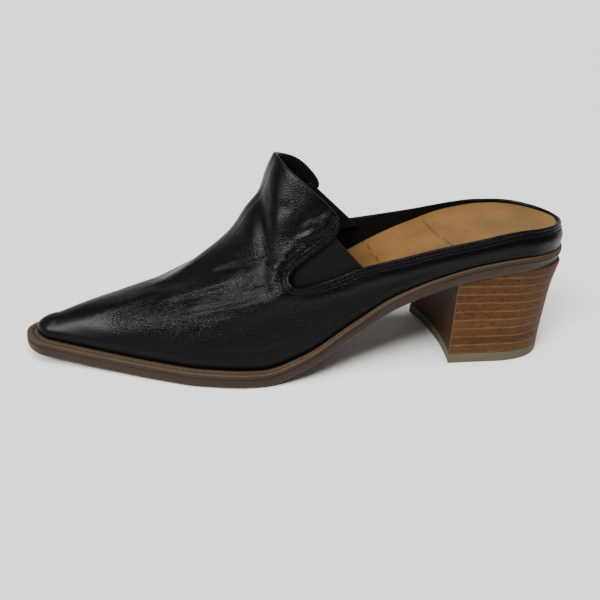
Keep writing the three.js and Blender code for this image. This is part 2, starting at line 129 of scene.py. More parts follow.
# The pocket that the gore fills, from the tongue round the nose and back along the collar:
# shares of the length and of the instep height, lateral and then medial
POCKET = np.array((
    (0.475, 0.735, 0.475, 0.790), (0.484, 0.688, 0.479, 0.775), (0.500, 0.652, 0.500, 0.707),
    (0.524, 0.606, 0.524, 0.661), (0.541, 0.569, 0.541, 0.624), (0.553, 0.537, 0.553, 0.592),
    (0.558, 0.505, 0.558, 0.560), (0.553, 0.483, 0.553, 0.538), (0.540, 0.475, 0.540, 0.530),
    (0.506, 0.487, 0.506, 0.542), (0.470, 0.512, 0.470, 0.567), (0.440, 0.545, 0.4155, 0.609),
))

# How far inside the sole's edge the heel's stack meets the sole, and where the sole's rounded
# edge starts to straighten towards it and has done so
SEAT_INSET = 1.0
SEAT_START, SEAT_FULL = 74.0, 66.0
# The groove for the welt's stitches: its place as a share of the way in to the upper, its half
# width, the stations over which it fades, and where the stitches begin
GROOVE_PLACE = 0.66
GROOVE_WIDTH = 0.6
GROOVE_FADE = (84.0, 108.0)
WELT_STITCHES_FROM = 92.0
# How dark the welt is painted where it meets the upper, all the way round: painted shade along the join
WELT_PAINTED_SHADE = 0.5

# How finely the pieces are meshed. SPLIT is the station where the vamp's rows, which run over
# the crest, give way to the quarter's, which end at the collar.
COLUMN_STEP = 0.86
SPLIT = 116.0
VAMP_ROWS = 104
HEEL_COLUMNS = 46
TOE_COLUMNS = 16
SECTION_SAMPLES = 240
CURVE_SAMPLES = 8
EDGE_ROWS = 5
HEEL_ARC_COLUMNS = 26
HEEL_SIDE_COLUMNS = 22
BREAST_COLUMNS = 20
GORE_ROWS, GORE_COLUMNS = 44, 40
RIB_SAMPLES = 26
SOCK_COLUMNS = 84
# Share of an edge within which a corner moves onto the cut instead of a new one being made
SNAP = 0.3
# Millimetres within which two points of the upper or the footbed are the same point
WELD_GRAIN = 1e-3

# Folds and creases of the leather, listed one by one. Each has its depth and half width in
# millimetres, a ridge when positive, and the points that it runs through: distance along the
# shoe and share of the way from the welt up to the crest.
SHOULDER = (
    (262, 0.55), (252, 0.66), (241.5, 0.64), (232, 0.72), (222, 0.77), (213, 0.79), (204.6, 0.732),
    (191, 0.645), (180, 0.629), (169, 0.581), (160.5, 0.521),
)
CORNER_FOLDS = (
    (0.40, 0.9, ((142.7, 0.509), (140.3, 0.496), (137.8, 0.474), (135.0, 0.454), (132.7, 0.449))),
    (0.45, 1.0, ((150.1, 0.529), (147.5, 0.509), (144.8, 0.491), (142.4, 0.479), (140.7, 0.471))),
    (0.35, 0.9, ((139.7, 0.471), (137.4, 0.454), (135.0, 0.434), (132.5, 0.421))),
    (0.50, 1.1, ((150.1, 0.456), (147.5, 0.454), (144.8, 0.439), (142.0, 0.421), (139.0, 0.424))),
    (0.45, 1.1, ((153.1, 0.419), (151.2, 0.434), (149.5, 0.431), (146.9, 0.421))),
    (-0.55, 1.6, ((149.4, 0.571), (146.0, 0.559), (142.5, 0.539), (138.0, 0.516), (134.0, 0.511))),
    (-0.50, 1.2, ((152.8, 0.519), (147.5, 0.489), (143.1, 0.461), (139.5, 0.441), (135.9, 0.426))),
    (-0.45, 1.1, ((154.8, 0.484), (151.8, 0.481), (148.2, 0.476), (144.8, 0.456))),
)
BAND_FOLDS = (
    (0.42, 1.5, (
        (213.8, 0.697), (200.2, 0.652), (191.1, 0.632), (184.3, 0.617), (177.7, 0.599), (171.3, 0.564))),
    (-0.45, 1.4, ((207.0, 0.614), (193.4, 0.589), (186.8, 0.579), (180.2, 0.564), (173.6, 0.546))),
    (0.35, 1.3, (
        (200.4, 0.506), (193.6, 0.504), (187.0, 0.494), (180.4, 0.484), (173.7, 0.464), (166.8, 0.436))),
    (-0.35, 1.2, (
        (197.8, 0.464), (191.5, 0.466), (184.7, 0.461), (178.1, 0.454), (171.5, 0.436), (164.9, 0.409))),
    (0.45, 1.6, (
        (205.9, 0.441), (198.1, 0.444), (189.3, 0.441), (180.4, 0.434), (171.5, 0.416), (156.9, 0.346))),
    (-0.35, 1.8, ((196.1, 0.378), (187.2, 0.386), (178.3, 0.386), (169.4, 0.371), (161.3, 0.341))),
    (0.35, 1.2, ((173.6, 0.511), (169.2, 0.499), (163.9, 0.466), (159.8, 0.434), (156.2, 0.391))),
    (-0.35, 1.0, ((171.1, 0.471), (166.8, 0.456), (162.2, 0.431), (158.2, 0.393))),
    (0.45, 1.6, (
        (190.6, 0.812), (184.3, 0.782), (178.1, 0.742), (171.3, 0.682), (160.5, 0.581), (154.5, 0.539))),
    (-0.55, 1.8, (
        (188.9, 0.757), (182.6, 0.729), (176.6, 0.697), (169.8, 0.634), (158.1, 0.529), (152.8, 0.501))),
)
LOW_FOLDS = (
    (-0.22, 1.1, ((196.3, 0.231), (187.2, 0.273), (179.2, 0.291), (172.0, 0.293))),
    (-0.20, 1.0, ((189.1, 0.170), (182.8, 0.216), (175.6, 0.243), (169.4, 0.248))),
    (-0.20, 1.1, ((170.0, 0.110), (161.6, 0.110), (153.1, 0.098))),
    (-0.18, 1.0, ((185.5, 0.326), (178.3, 0.333), (171.1, 0.331), (163.9, 0.313))),
    (0.22, 1.3, ((137.1, 0.203), (129.9, 0.188), (122.5, 0.163), (114.6, 0.138))),
    (-0.22, 1.2, ((146.5, 0.243), (138.0, 0.198), (130.1, 0.170), (122.3, 0.145))),
)
TONGUE_FOLDS = (
    (0.35, 1.2, ((162.2, 0.960), (162.2, 0.912), (162.0, 0.862), (161.5, 0.817))),
    (-0.40, 2.6, ((161.6, 0.779), (158.4, 0.739), (154.5, 0.697), (150.3, 0.652))),
)
BROAD_FOLDS = (
    (1.8, 7.0, (
        (236, 0.54), (226, 0.50), (206, 0.43), (190, 0.41), (172, 0.38), (157, 0.33), (142, 0.31),
        (126, 0.30))),
    (1.4, 4.5, ((184, 0.41), (172, 0.385), (160, 0.35), (150, 0.335), (138, 0.33))),
    (-1.3, 7.0, (
        (220, 0.88), (206, 0.85), (188.9, 0.79), (176.6, 0.72), (165, 0.63), (152.8, 0.55), (143, 0.50))),
    (0.7, 9.0, ((178, 0.98), (164, 0.92), (155, 0.84), (146, 0.74), (134, 0.62))),
)
LATERAL_FOLDS = BROAD_FOLDS + CORNER_FOLDS + BAND_FOLDS + LOW_FOLDS + TONGUE_FOLDS
MEDIAL_FOLDS = BROAD_FOLDS + CORNER_FOLDS + BAND_FOLDS[:5] + BAND_FOLDS[8:] + LOW_FOLDS[:3]
# The bend where the tongue turns up from the vamp: station, depth and reach along the shoe
BEND_STATION = 163.6
BEND_DEPTH = 1.9
BEND_REACH = 3.4
# How high above the welt the bend starts and where it is full
BEND_START, BEND_FULL = 34.0, 64.0
# Soft lines along the welt and along the stitched edge: height, distance and half width
WELT_TUCK = (-0.5, 0.0, 0.9)
WELT_ROLL = (0.22, 4.5, 2.2)
EDGE_FOLD = (0.25, 0.7, 0.6)
EDGE_PUFF = (0.9, 7.0, 2.6)
# Folds narrower than this also show as creases in the leather's finish
CREASE_WIDTH = 5.0
SHOULDER_WIDTH = 4.0
# Share of a fold's length over which it fades at each end
FOLD_FADE = 0.28
# Where the crackled grain starts and is full, counted from the heel, and how coarse its patches are
GRAIN_START, GRAIN_FULL = 256.0, 230.0
GRAIN_PATCH = 16.0


def between(value, low, high):
    """0 at low, 1 at high and straight between them. The low end may be the larger number."""
    return np.clip((value - low) / (high - low), 0, 1)


def swell(distance, height, place, width):
    """Height of a soft line that runs at a place and fades over its half width."""
    return height * np.exp(-((distance - place) / width) ** 2)


def smooth(table, column, along):
    """Monotone cubic through one column of a table, at distances along the shoe."""
    knots = table[:, 0] * SHOE_LENGTH
    values = table[:, column]
    x = np.clip(along, knots[0], knots[-1])
    steps = np.diff(knots)
    rises = np.diff(values) / steps
    before, after = rises[:-1], rises[1:]
    turning = before * after > 0
    near, far = 2 * steps[1:] + steps[:-1], steps[1:] + 2 * steps[:-1]
    blend = (near + far) / (near / np.where(turning, before, 1) + far / np.where(turning, after, 1))
    tangents = np.concatenate((rises[:1], np.where(turning, blend, 0), rises[-1:]))
    i = np.clip(np.searchsorted(knots, x) - 1, 0, len(steps) - 1)
    t = (x - knots[i]) / steps[i]
    ends = values[i] * (1 + 2 * t) * (1 - t) ** 2 + values[i + 1] * t * t * (3 - 2 * t)
    return ends + steps[i] * (tangents[i] * t * (1 - t) ** 2 + tangents[i + 1] * t * t * (t - 1))


def sole_bottom(s):
    return HEEL_HEIGHT * smooth(PROFILE, RISE, s) + TOE_SPRING * smooth(PROFILE, SPRING, s)


def outsole_top(s):
    return sole_bottom(s) + OUTSOLE_THICKNESS


def welt_top(s):
    return outsole_top(s) + CLEARANCE + WELT_THICKNESS


def upper_foot(s):
    return welt_top(s) + CLEARANCE


def footbed_top(s):
    return upper_foot(s) + FOOTBED_THICKNESS * smooth(LAYERS, FOOTBED, s)


def ledge(s):
    return WELT_LEDGE * smooth(LAYERS, LEDGE, s)


def end_rounding(distance, length, fullness):
    """Rounds a half width to nothing over a length at the end of the shoe."""
    u = 1 - np.clip(distance / length, 0, 1)
    return (1 - u ** fullness) ** (1 / fullness)


class Outline:
    """A line a margin inside the edge of the sole, with the stations that it is drawn through."""

    def __init__(self, margin):
        self.margin = margin
        self.start = float(margin(0.0))
        self.end = SHOE_LENGTH - float(margin(SHOE_LENGTH))
        self.heel = HEEL_ROUNDING - self.start
        self.toe = max(TOE_ROUNDING - (SHOE_LENGTH - self.end) / 2, 3)
        quarter = np.linspace(0, math.pi / 2, HEEL_COLUMNS, endpoint=False)
        heel = self.start + self.heel * (1 - np.cos(quarter))
        front = self.end - self.toe
        count = round((SHOE_LENGTH - TOE_ROUNDING - HEEL_ROUNDING) / COLUMN_STEP)
        middle = np.linspace(HEEL_ROUNDING, front, count, endpoint=False)
        toe = self.end - self.toe * (1 - np.cos(np.linspace(math.pi / 2, 0, TOE_COLUMNS)))
        self.stations = np.concatenate((heel, middle, toe))

    def half(self, side, s):
        """Half width on one side."""
        ends = end_rounding(s - self.start, self.heel, HEEL_FULLNESS)
        ends = ends * end_rounding(self.end - s, self.toe, 2)
        column = 1 if side == LATERAL else 2
        return (BALL_WIDTH * smooth(PLAN, column, s) - self.margin(s)) * ends

    def ring(self, height):
        """Closed ring of points, out along the lateral side and back along the medial."""
        s = self.stations
        back = s[-2:0:-1]
        out = np.stack((s, -self.half(LATERAL, s), height(s)), 1)
        return np.concatenate((out, np.stack((back, self.half(MEDIAL, back), height(back)), 1)))


def spine_station(s):
    """Where the section at a station meets the crest, gathered into fans at both ends."""
    toe = SHOE_LENGTH - TOE_FAN
    fanned = np.where(s > toe, toe + (s - toe) * FAN_SPREAD, s)
    return np.where(s < HEEL_FAN, HEEL_FAN - (HEEL_FAN - s) * FAN_SPREAD, fanned)


def crest_height(s, depth):
    rise = INSTEP_HEIGHT * smooth(SPINE, HEIGHT, s)
    slope = INSTEP_HEIGHT * (smooth(SPINE, HEIGHT, s + 1) - smooth(SPINE, HEIGHT, s - 1)) / 2
    return rise - depth * np.hypot(1, slope)


def fullness_at(side, s):
    return smooth(SPINE, 3 if side == LATERAL else 4, spine_station(s))


def last_form(side, s, turn, depth=0.0):
    """Points of the last's form, a depth inside the leather's outer face. The turn is 0 at the
    welt and a right angle at the crest."""
    base = Outline(lambda at: ledge(at) + depth)
    at = spine_station(s)
    full = fullness_at(side, s)
    inward = 1 - np.clip(np.cos(turn), 0, 1) ** (2 / full)
    upward = np.clip(np.sin(turn), 0, 1) ** (2 / full)
    y = side * base.half(side, s)
    centre = BALL_WIDTH * smooth(SPINE, CENTRE, at)
    foot = upper_foot(s)
    z = foot + (crest_height(at, depth) - foot) * upward
    return np.stack((s + (at - s) * inward, y + (centre - y) * inward, z), -1)


def turn_at_height(side, s, z, depth=0.0):
    """The turn at which the section at a station reaches a height."""
    foot = upper_foot(s)
    share = np.clip((z - foot) / (crest_height(spine_station(s), depth) - foot), 0, 1)
    return np.arcsin(share ** (fullness_at(side, s) / 2))


def section_lengths(side, s):
    """Turns of a finely drawn section at each station and the distance up to each of them."""
    turns = np.linspace(0, math.pi / 2, SECTION_SAMPLES)
    points = last_form(side, s[:, None], turns[None, :])
    steps = np.linalg.norm(np.diff(points, axis=1), axis=2)
    return turns, np.concatenate((np.zeros((len(s), 1)), np.cumsum(steps, axis=1)), axis=1)


def on_section(side, pairs):
    """Points on the form from stations and shares of the way up the section."""
    s, share = np.array(pairs, float).T
    turns, lengths = section_lengths(side, s)
    turn = np.array([np.interp(f * row[-1], row, turns) for f, row in zip(share, lengths)])
    return last_form(side, s, turn)


def through(knots):
    """Points of a smooth curve through knots of any dimension."""
    p = np.asarray(knots, float)
    padded = np.concatenate((p[:1], p, p[-1:]))
    t = np.linspace(0, 1, CURVE_SAMPLES, endpoint=False)[:, None]
    pieces = []
    for i in range(len(p) - 1):
        a, b, c, d = padded[i:i + 4]
        from_b, to_c = (c - a) / 2, (d - b) / 2
        cubic = (2 * b - 2 * c + from_b + to_c) * t ** 3
        pieces.append(cubic + (3 * c - 3 * b - 2 * from_b - to_c) * t ** 2 + from_b * t + b)
    return np.concatenate(pieces + [p[-1:]])


def side_knots(table, along, height):
    return np.stack((table[:, along] * SHOE_LENGTH, table[:, height] * INSTEP_HEIGHT), 1)


def pocket_knots(side):
    return side_knots(POCKET, 0, 1) if side == LATERAL else side_knots(POCKET, 2, 3)


def leather_edge(side):
    """Top edge of the leather from the side, from the heel round the pocket to the tongue's peak."""
    column = 1 if side == LATERAL else 2
    pocket = through(pocket_knots(side))[::-1]
    collar = through(side_knots(COLLAR, 0, column))
    along = np.linspace(0, pocket[0][0], 64)
    collar = np.stack((along, np.interp(along, collar[:, 0], collar[:, 1])), 1)
    return collar, pocket, through(side_knots(TONGUE, 0, column))


def cut_away(side):
    """Closed outline, seen from the side, of all that lies beyond the edge of the leather."""
    collar, pocket, tongue = leather_edge(side)
    peak = tongue[-1]
    beyond = 30.0
    top = 2 * INSTEP_HEIGHT
    corners = np.array((
        (peak[0] + beyond, peak[1] + beyond), (peak[0] + beyond, top), (-beyond, top),
        (-beyond, collar[0][1]),
    ))
    return np.concatenate((collar, pocket[1:-1], tongue, corners))


def near(points, line, closed=False):
    """Distance of points from a line, and how far along it, from 0 to 1, the nearest place is."""
    line = np.asarray(line, float)
    ends = np.roll(line, -1, axis=0) if closed else line[1:]
    starts = line if closed else line[:-1]
    lengths = np.linalg.norm(ends - starts, axis=1)
    reach = np.concatenate(((0.0,), np.cumsum(lengths)))
    best = np.full(len(points), np.inf)
    place = np.zeros(len(points))
    for i, (a, b) in enumerate(zip(starts, ends)):
        if lengths[i] < 1e-9:
            continue
        t = np.clip((points - a) @ (b - a) / lengths[i] ** 2, 0, 1)
        distance = np.linalg.norm(points - a - t[:, None] * (b - a), axis=1)
        closer = distance < best
        best = np.where(closer, distance, best)
        place = np.where(closer, (reach[i] + t * lengths[i]) / reach[-1], place)
    return best, place


def inside(points, outline):
    """Which points of the side view lie inside a closed outline."""
    found = np.zeros(len(points), bool)
    for (ax, az), (bx, bz) in zip(outline, np.roll(outline, -1, axis=0)):
        if az == bz:
            continue
        spans = (az > points[:, 1]) != (bz > points[:, 1])
        found ^= spans & (points[:, 0] < (bx - ax) * (points[:, 1] - az) / (bz - az) + ax)
    return found


def beyond_edge(points):
    """How far points of the upper lie beyond the edge of the leather, negative on the leather."""
    width = CROSSING * BALL_WIDTH
    t = np.clip((points[:, 1] + width) / (2 * width), 0, 1)
    ease = np.round(t * t * (3 - 2 * t) * 32) / 32
    lateral, medial = cut_away(LATERAL), cut_away(MEDIAL)
    side_view = points[:, (0, 2)]
    level = np.zeros(len(points))
    for share in np.unique(ease):
        chosen = ease == share
        outline = lateral + (medial - lateral) * share
        distance, _ = near(side_view[chosen], outline, closed=True)
        level[chosen] = np.where(inside(side_view[chosen], outline), distance, -distance)
    return level


def weld(points, faces, offset=0.0):
    """Merges points that coincide and drops the faces that vanish. Columns after the third ride
    along. The offset keeps points that lie on a plane from falling on either side of a cell."""
    cells = np.round(points[:, :3] / WELD_GRAIN + offset).astype(int)
    _, first, index = np.unique(cells, axis=0, return_index=True, return_inverse=True)
    index = index.reshape(-1)
    kept = []
    for face in faces:
        corners = [int(index[i]) for i in face]
        corners = [c for k, c in enumerate(corners) if c != corners[k - 1]]
        if len(set(corners)) > 2:
            kept.append(tuple(corners))
    return points[first], kept


def face_normals(points, faces):
    """Area-weighted normal of each face, fanned from its first corner."""
    normals = np.zeros((len(faces), 3))
    for i, face in enumerate(faces):
        corners = points[list(face)]
        arms = corners[1:] - corners[0]
        normals[i] = np.cross(arms[:-1], arms[1:]).sum(axis=0)
    return normals


def point_normals(points, faces):
    total = np.zeros_like(points)
    normals = face_normals(points, faces)
    for normal, face in zip(normals, faces):
        for corner in face:
            total[corner] += normal
    length = np.linalg.norm(total, axis=1, keepdims=True)
    return total / np.where(length > 0, length, 1)


def facing_out(points, faces):
    """The faces of a closed shape, turned so that they point outwards."""
    normals = face_normals(points, faces)
    first = points[[face[0] for face in faces]]
    volume = (normals * (first - points.mean(axis=0))).sum()
    return faces if volume > 0 else [tuple(reversed(face)) for face in faces]


def points_mirrored(points):
    """Points of the shoe along Blender's axes, still in millimetres: the toe points along -X."""
    out = np.array(points, float)
    out[:, 0] = SHOE_LENGTH / 2 - out[:, 0]
    return out


def placed(points):
    """Points of the shoe in Blender's frame, in metres."""
    return points_mirrored(points) * MM


def grid_faces(rows, columns, first=0):
    return [
        (first + r * columns + c, first + r * columns + c + 1,
         first + (r + 1) * columns + c + 1, first + (r + 1) * columns + c)
        for r in range(rows - 1) for c in range(columns - 1)
    ]


def ring_faces(rings, count, closed=False):
    """Faces between rings of points that follow each other."""
    faces = []
    for r in range(rings if closed else rings - 1):
        following = (r + 1) % rings
        for i in range(count):
            j = (i + 1) % count
            faces.append((r * count + i, r * count + j, following * count + j, following * count + i))
    return faces


def paired_cap(first, count):
    """Cap of a ring from an Outline, which joins each lateral point to its medial one."""
    faces = [(first, first + 1, first + count - 1)]
    for i in range(1, count // 2 - 1):
        faces.append((first + i, first + i + 1, first + count - i - 1, first + count - i))
    faces.append((first + count // 2 - 1, first + count // 2, first + count // 2 + 1))
    return faces


def make_piece(name, points, faces, finishes, attributes=None, finish_of_face=None, sharp=None):
    """A Blender object from points in the shoe's own frame. Its origin stays at the world's."""
    mesh = bpy.data.meshes.new(name)
    mesh.from_pydata(points.tolist(), [], faces)
    mesh.update()
    for finish in finishes:
        mesh.materials.append(finish)
    if finish_of_face is not None:
        mesh.polygons.foreach_set("material_index", finish_of_face)
    for key, values in (attributes or {}).items():
        layer = mesh.attributes.new(key, "FLOAT", "POINT")
        layer.data.foreach_set("value", np.asarray(values, np.float32))
    mesh.shade_smooth()
    if sharp is not None:
        mesh.set_sharp_from_angle(angle=sharp)
    piece = bpy.data.objects.new(name, mesh)
    bpy.context.scene.collection.objects.link(piece)
    return piece


def finish_piece(piece, slot, *nodes):
    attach(piece, "root")
    if nodes:
        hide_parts(*nodes)


def lofted(rings, closed=False):
    """Points and outward faces of a solid through rings of an Outline."""
    count = len(rings[0])
    points = np.concatenate(rings)
    faces = ring_faces(len(rings), count, closed)
    if not closed:
        faces += [tuple(reversed(face)) for face in paired_cap(0, count)]
        faces += paired_cap((len(rings) - 1) * count, count)
    return points, facing_out(points, faces)


def trim(points, faces, level):
    """Keeps the part of a surface whose level is below zero, cut cleanly along the zero line."""
    points = points.copy()
    level = level.copy()
    edges = {tuple(sorted((face[k - 1], face[k]))) for face in faces for k in range(len(face))}
    moves = {}
    for a, b in edges:
        if level[a] * level[b] >= 0:
            continue
        share = level[a] / (level[a] - level[b])
        for here, there, f in ((a, b, share), (b, a, 1 - share)):
            if f < SNAP and (here not in moves or f < moves[here][1]):
                moves[here] = (there, f)
    spots = {here: points[here] + (points[there] - points[here]) * f for here, (there, f) in moves.items()}
    for here, spot in spots.items():
        points[here] = spot
        level[here] = 0
    extra = []
    cuts = {}

    def cut(a, b):
        key = (min(a, b), max(a, b))
        if key not in cuts:
            share = level[a] / (level[a] - level[b])
            extra.append(points[a] + (points[b] - points[a]) * share)
            cuts[key] = len(points) + len(extra) - 1
        return cuts[key]

    kept = []
    for face in faces:
        values = level[list(face)]
        if values.max() <= 0:
            if values.min() < 0:
                kept.append(face)
            continue
        if values.min() >= 0:
            continue
        corners = []
        for k, corner in enumerate(face):
            previous = face[k - 1]
            if level[previous] * level[corner] < 0:
                corners.append(cut(previous, corner))
            if level[corner] <= 0:
                corners.append(corner)
        if len(corners) > 2:
            kept.append(tuple(corners))
    every = np.concatenate((points, np.array(extra).reshape(-1, 3)))
    used = np.unique([corner for face in kept for corner in face])
    index = np.full(len(every), -1)
    index[used] = np.arange(len(used))
    return every[used], [tuple(int(index[corner]) for corner in face) for face in kept]


def border_loops(faces):
    """Loops of edges that only one face uses, running as their faces do."""
    following = {}
    used = set()
    for face in faces:
        for k, corner in enumerate(face):
            used.add((face[k - 1], corner))
    for a, b in used:
        if (b, a) not in used:
            following[a] = b
    loops = []
    while following:
        start, after = next(iter(following.items()))
        loop = [start]
        del following[start]
        while after != start:
            loop.append(after)
            after = following.pop(after)
        loops.append(loop)
    return loops


def ridge(points, line, depth, width):
    """A soft ridge, or a trough where the depth is negative, that fades at both ends."""
    distance, place = near(points, line)
    taper = between(np.minimum(place, 1 - place), 0, FOLD_FADE)
    taper = taper * taper * (3 - 2 * taper)
    return depth * taper * np.exp(-(distance / width) ** 2)


def speckle(points, scale, seed):
    """Smooth noise between -1 and 1 with features of a size in millimetres."""
    offset = Vector((seed * 13.7, seed * 5.1, seed * 8.3))
    return np.array([noise.noise(Vector(p) / scale + offset) for p in points])


class Wire:
    """A shader socket that can stand in a Python expression."""

    def __init__(self, shader, socket):
        self.shader = shader
        self.socket = socket

    def maths(self, operation, *others, clamp=False):
        settings = {"operation": operation, "use_clamp": clamp}
        return self.shader.node("ShaderNodeMath", dict(enumerate((self,) + others)), settings)

    def __add__(self, other):
        return self.maths("ADD", other)

    def __sub__(self, other):
        return self.maths("SUBTRACT", other)

    def __mul__(self, other):
        return self.maths("MULTIPLY", other)

    def __truediv__(self, other):
        return self.maths("DIVIDE", other)

    def __rsub__(self, other):
        return self.shader.node("ShaderNodeMath", {0: other, 1: self}, {"operation": "SUBTRACT"})

    __radd__ = __add__
    __rmul__ = __mul__

    def clamped(self):
        return self.maths("ADD", 0.0, clamp=True)

    def ramp(self, low, high):
        """0 below low, 1 above high and smooth between them."""
        settings = {"interpolation_type": "SMOOTHSTEP"}
        sockets = {"Value": self, "From Min": low, "From Max": high}
        return self.shader.node("ShaderNodeMapRange", sockets, settings)


def scaled(colour, share):
    """A lighter or darker shade of a colour."""
    return tuple(min(c * share, 1) for c in colour)


class Shader:
    """Builds the nodes of one material."""

    def __init__(self, name):
        self.material = bpy.data.materials.new(name)
        self.material.use_nodes = True
        self.tree = self.material.node_tree
        self.tree.nodes.clear()
        output = self.tree.nodes.new("ShaderNodeOutputMaterial")
        self.surface = self.tree.nodes.new("ShaderNodeBsdfPrincipled")
        self.tree.links.new(self.surface.outputs["BSDF"], output.inputs["Surface"])
        self.place = self.node("ShaderNodeTexCoord", {}, output="Object")

    def feed(self, socket, value):
        if isinstance(value, Wire):
            self.tree.links.new(value.socket, socket)
        elif isinstance(value, (tuple, list)) and socket.type == "RGBA" and len(value) == 3:
            socket.default_value = (*value, 1.0)
        else:
            socket.default_value = value

    def node(self, kind, sockets, settings=None, output=0):
        """A node with its settings made first, then the values or links of its sockets."""
        made = self.tree.nodes.new(kind)
        for key, value in (settings or {}).items():
            setattr(made, key, value)
        for key, value in sockets.items():
            self.feed(made.inputs[key], value)
        return Wire(self, made.outputs[output])

    def set(self, **values):
        for key, value in values.items():
            self.feed(self.surface.inputs[key.replace("_", " ")], value)

    def finished(self, base, roughness, specular, height):
        """The material with its colour, roughness, specular level and height in millimetres."""
        self.set(Base_Color=base, Roughness=roughness, Specular_IOR_Level=specular)
        self.set(Normal=self.bump(height))
        return self.material

    def mix(self, factor, first, second):
        """Mix of two colours."""
        return self.node("ShaderNodeMix", {0: factor, 6: first, 7: second}, {"data_type": "RGBA"}, output=2)

    def stretched(self, x, y, z):
        """Object coordinates stretched along the axes."""
        return self.node("ShaderNodeVectorMath", {0: self.place, 1: (x, y, z)}, {"operation": "MULTIPLY"})

    def axis(self, name):
        return self.node("ShaderNodeSeparateXYZ", {0: self.place}, output=name)

    def noise(self, size, detail=2.0, vector=None, roughness=0.5):
        """Noise between 0 and 1 with features of a size in millimetres."""
        sockets = {
            "Vector": vector or self.place, "Scale": 1000.0 / size, "Detail": detail, "Roughness": roughness,
        }
        return self.node("ShaderNodeTexNoise", sockets)

    def cells(self, size, vector=None):
        """Distance to the edges of cells of a size in millimetres."""
        sockets = {"Vector": vector or self.place, "Scale": 1000.0 / size}
        return self.node("ShaderNodeTexVoronoi", sockets, {"feature": "DISTANCE_TO_EDGE"})

    def attribute(self, name):
        return self.node("ShaderNodeAttribute", {}, {"attribute_name": name}, output="Fac")

    def bump(self, height):
        """Normal from a height in millimetres."""
        return self.node("ShaderNodeBump", {"Height": height, "Strength": 1.0, "Distance": MM})


def leather_finish(colour, grain, rows):
    """Black glazed leather: smooth at the toe, crackled where the foot bends it, with a trough
    for each row of stitches and shade painted into each trough."""
    s = Shader("black leather")
    mask = s.attribute("grain")
    crease = s.attribute("crease")
    drift = (0.0022, 0.0022, 0.0022)
    bent = s.node("ShaderNodeVectorMath", {0: s.noise(9.0, 1.0), 1: drift}, {"operation": "MULTIPLY"})
    flow = s.node("ShaderNodeVectorMath", {0: s.stretched(0.55, 1.0, 1.0), 1: bent}, {"operation": "ADD"})
    pebble = s.cells(1.05, flow).ramp(0.0, 0.30)
    small = s.cells(0.6, flow).ramp(0.0, 0.30)
    lines = s.noise(1.9, 3.0, s.stretched(0.30, 1.0, 1.0), 0.6)
    fine = s.noise(0.35, 3.0)
    height = mask * (pebble * 0.09 + small * 0.04 + lines * 0.25) * grain
    height = height + fine * 0.004 + s.noise(3.5, 2.0) * 0.02
    cloud = s.noise(24.0, 3.0)
    base = s.mix(cloud * 0.6, colour, scaled(colour, 1.5))
    base = s.mix((1 - pebble) * mask * 0.5, base, scaled(colour, 0.4))
    seam = s.attribute("seam")
    troughs = sum(1 - (seam - row).maths("ABSOLUTE").ramp(0.05, 0.5) for row in rows)
    height = height - troughs * 0.32
    # Painted shade: the stitch troughs are painted darker
    base = s.mix(troughs * 0.6, base, scaled(colour, 0.3))
    return s.finished(base, 0.35 + cloud * 0.06 - mask * 0.11 + crease * 0.03, 0.12, height)


def lining_finish(colour):
    """Matt black lining leather with fine pores."""
    s = Shader("black lining")
    pores = s.cells(0.6).ramp(0.0, 0.3)
    base = s.mix(s.noise(9.0, 3.0), colour, scaled(colour, 1.8))
    return s.finished(base, 0.6 + s.noise(4.0) * 0.2, 0.15, pores * 0.02 + s.noise(0.3) * 0.01)


def elastic_finish(colour):
    """Charcoal elastic webbing."""
    s = Shader("elastic webbing")
    weave = s.noise(0.28, 2.0, s.stretched(1.0, 1.0, 2.2))
    base = s.mix(weave, scaled(colour, 0.7), scaled(colour, 1.5))
    return s.finished(base, 0.82 + weave * 0.15, 0.2, weave * 0.06)


def thread_finish(name, colour):
    """Waxed thread, its strands turned round it."""
    s = Shader(name)
    strands = s.noise(0.25, 1.0, s.stretched(1.0, 1.0, 1.6))
    base = s.mix(strands, scaled(colour, 0.6), scaled(colour, 1.4))
    return s.finished(base, 0.35 + strands * 0.2, 0.12, strands * 0.05)


def sock_finish(colour):
    """Tan sock leather with pores and faint stains, with shade painted into its creases and along its rim
    where it meets the upper.
    """
    s = Shader("tan sock leather")
    pores = s.cells(0.9).ramp(0.0, 0.22)
    cloud = s.noise(22.0, 4.0)
    crease = s.attribute("crease")
    edge = s.attribute("edge")
    stain = s.noise(5.5, 3.0).ramp(0.66, 0.78)
    speck = s.noise(1.6, 1.0).ramp(0.78, 0.84)
    base = s.mix(cloud.ramp(0.3, 0.7), scaled(colour, 0.80), scaled(colour, 1.15))
    grain = s.noise(1.3, 4.0, s.stretched(0.35, 1.0, 1.0), 0.65)
    base = s.mix(grain.ramp(0.45, 0.75) * 0.30, base, scaled(colour, 0.62))
    base = s.mix((1 - pores) * 0.22, base, scaled(colour, 0.6))
    base = s.mix(stain * 0.28, base, [colour[0] * 0.62, colour[1] * 0.52, colour[2] * 0.36])
    base = s.mix(speck * 0.45, base, scaled(colour, 0.42))
    # Painted shade in the creases, broken up, and along the rim where the footbed meets the upper
    crease_shade = crease * (0.35 + s.noise(3.0, 2.0).ramp(0.35, 0.65) * 0.5)
    base = s.mix((crease_shade + edge * 0.75).clamped(), base, scaled(colour, 0.18))
    height = pores * 0.03 + s.noise(0.5) * 0.015 + s.noise(14.0) * 0.2
    return s.finished(base, 0.52 + cloud * 0.12, 0.2, height)


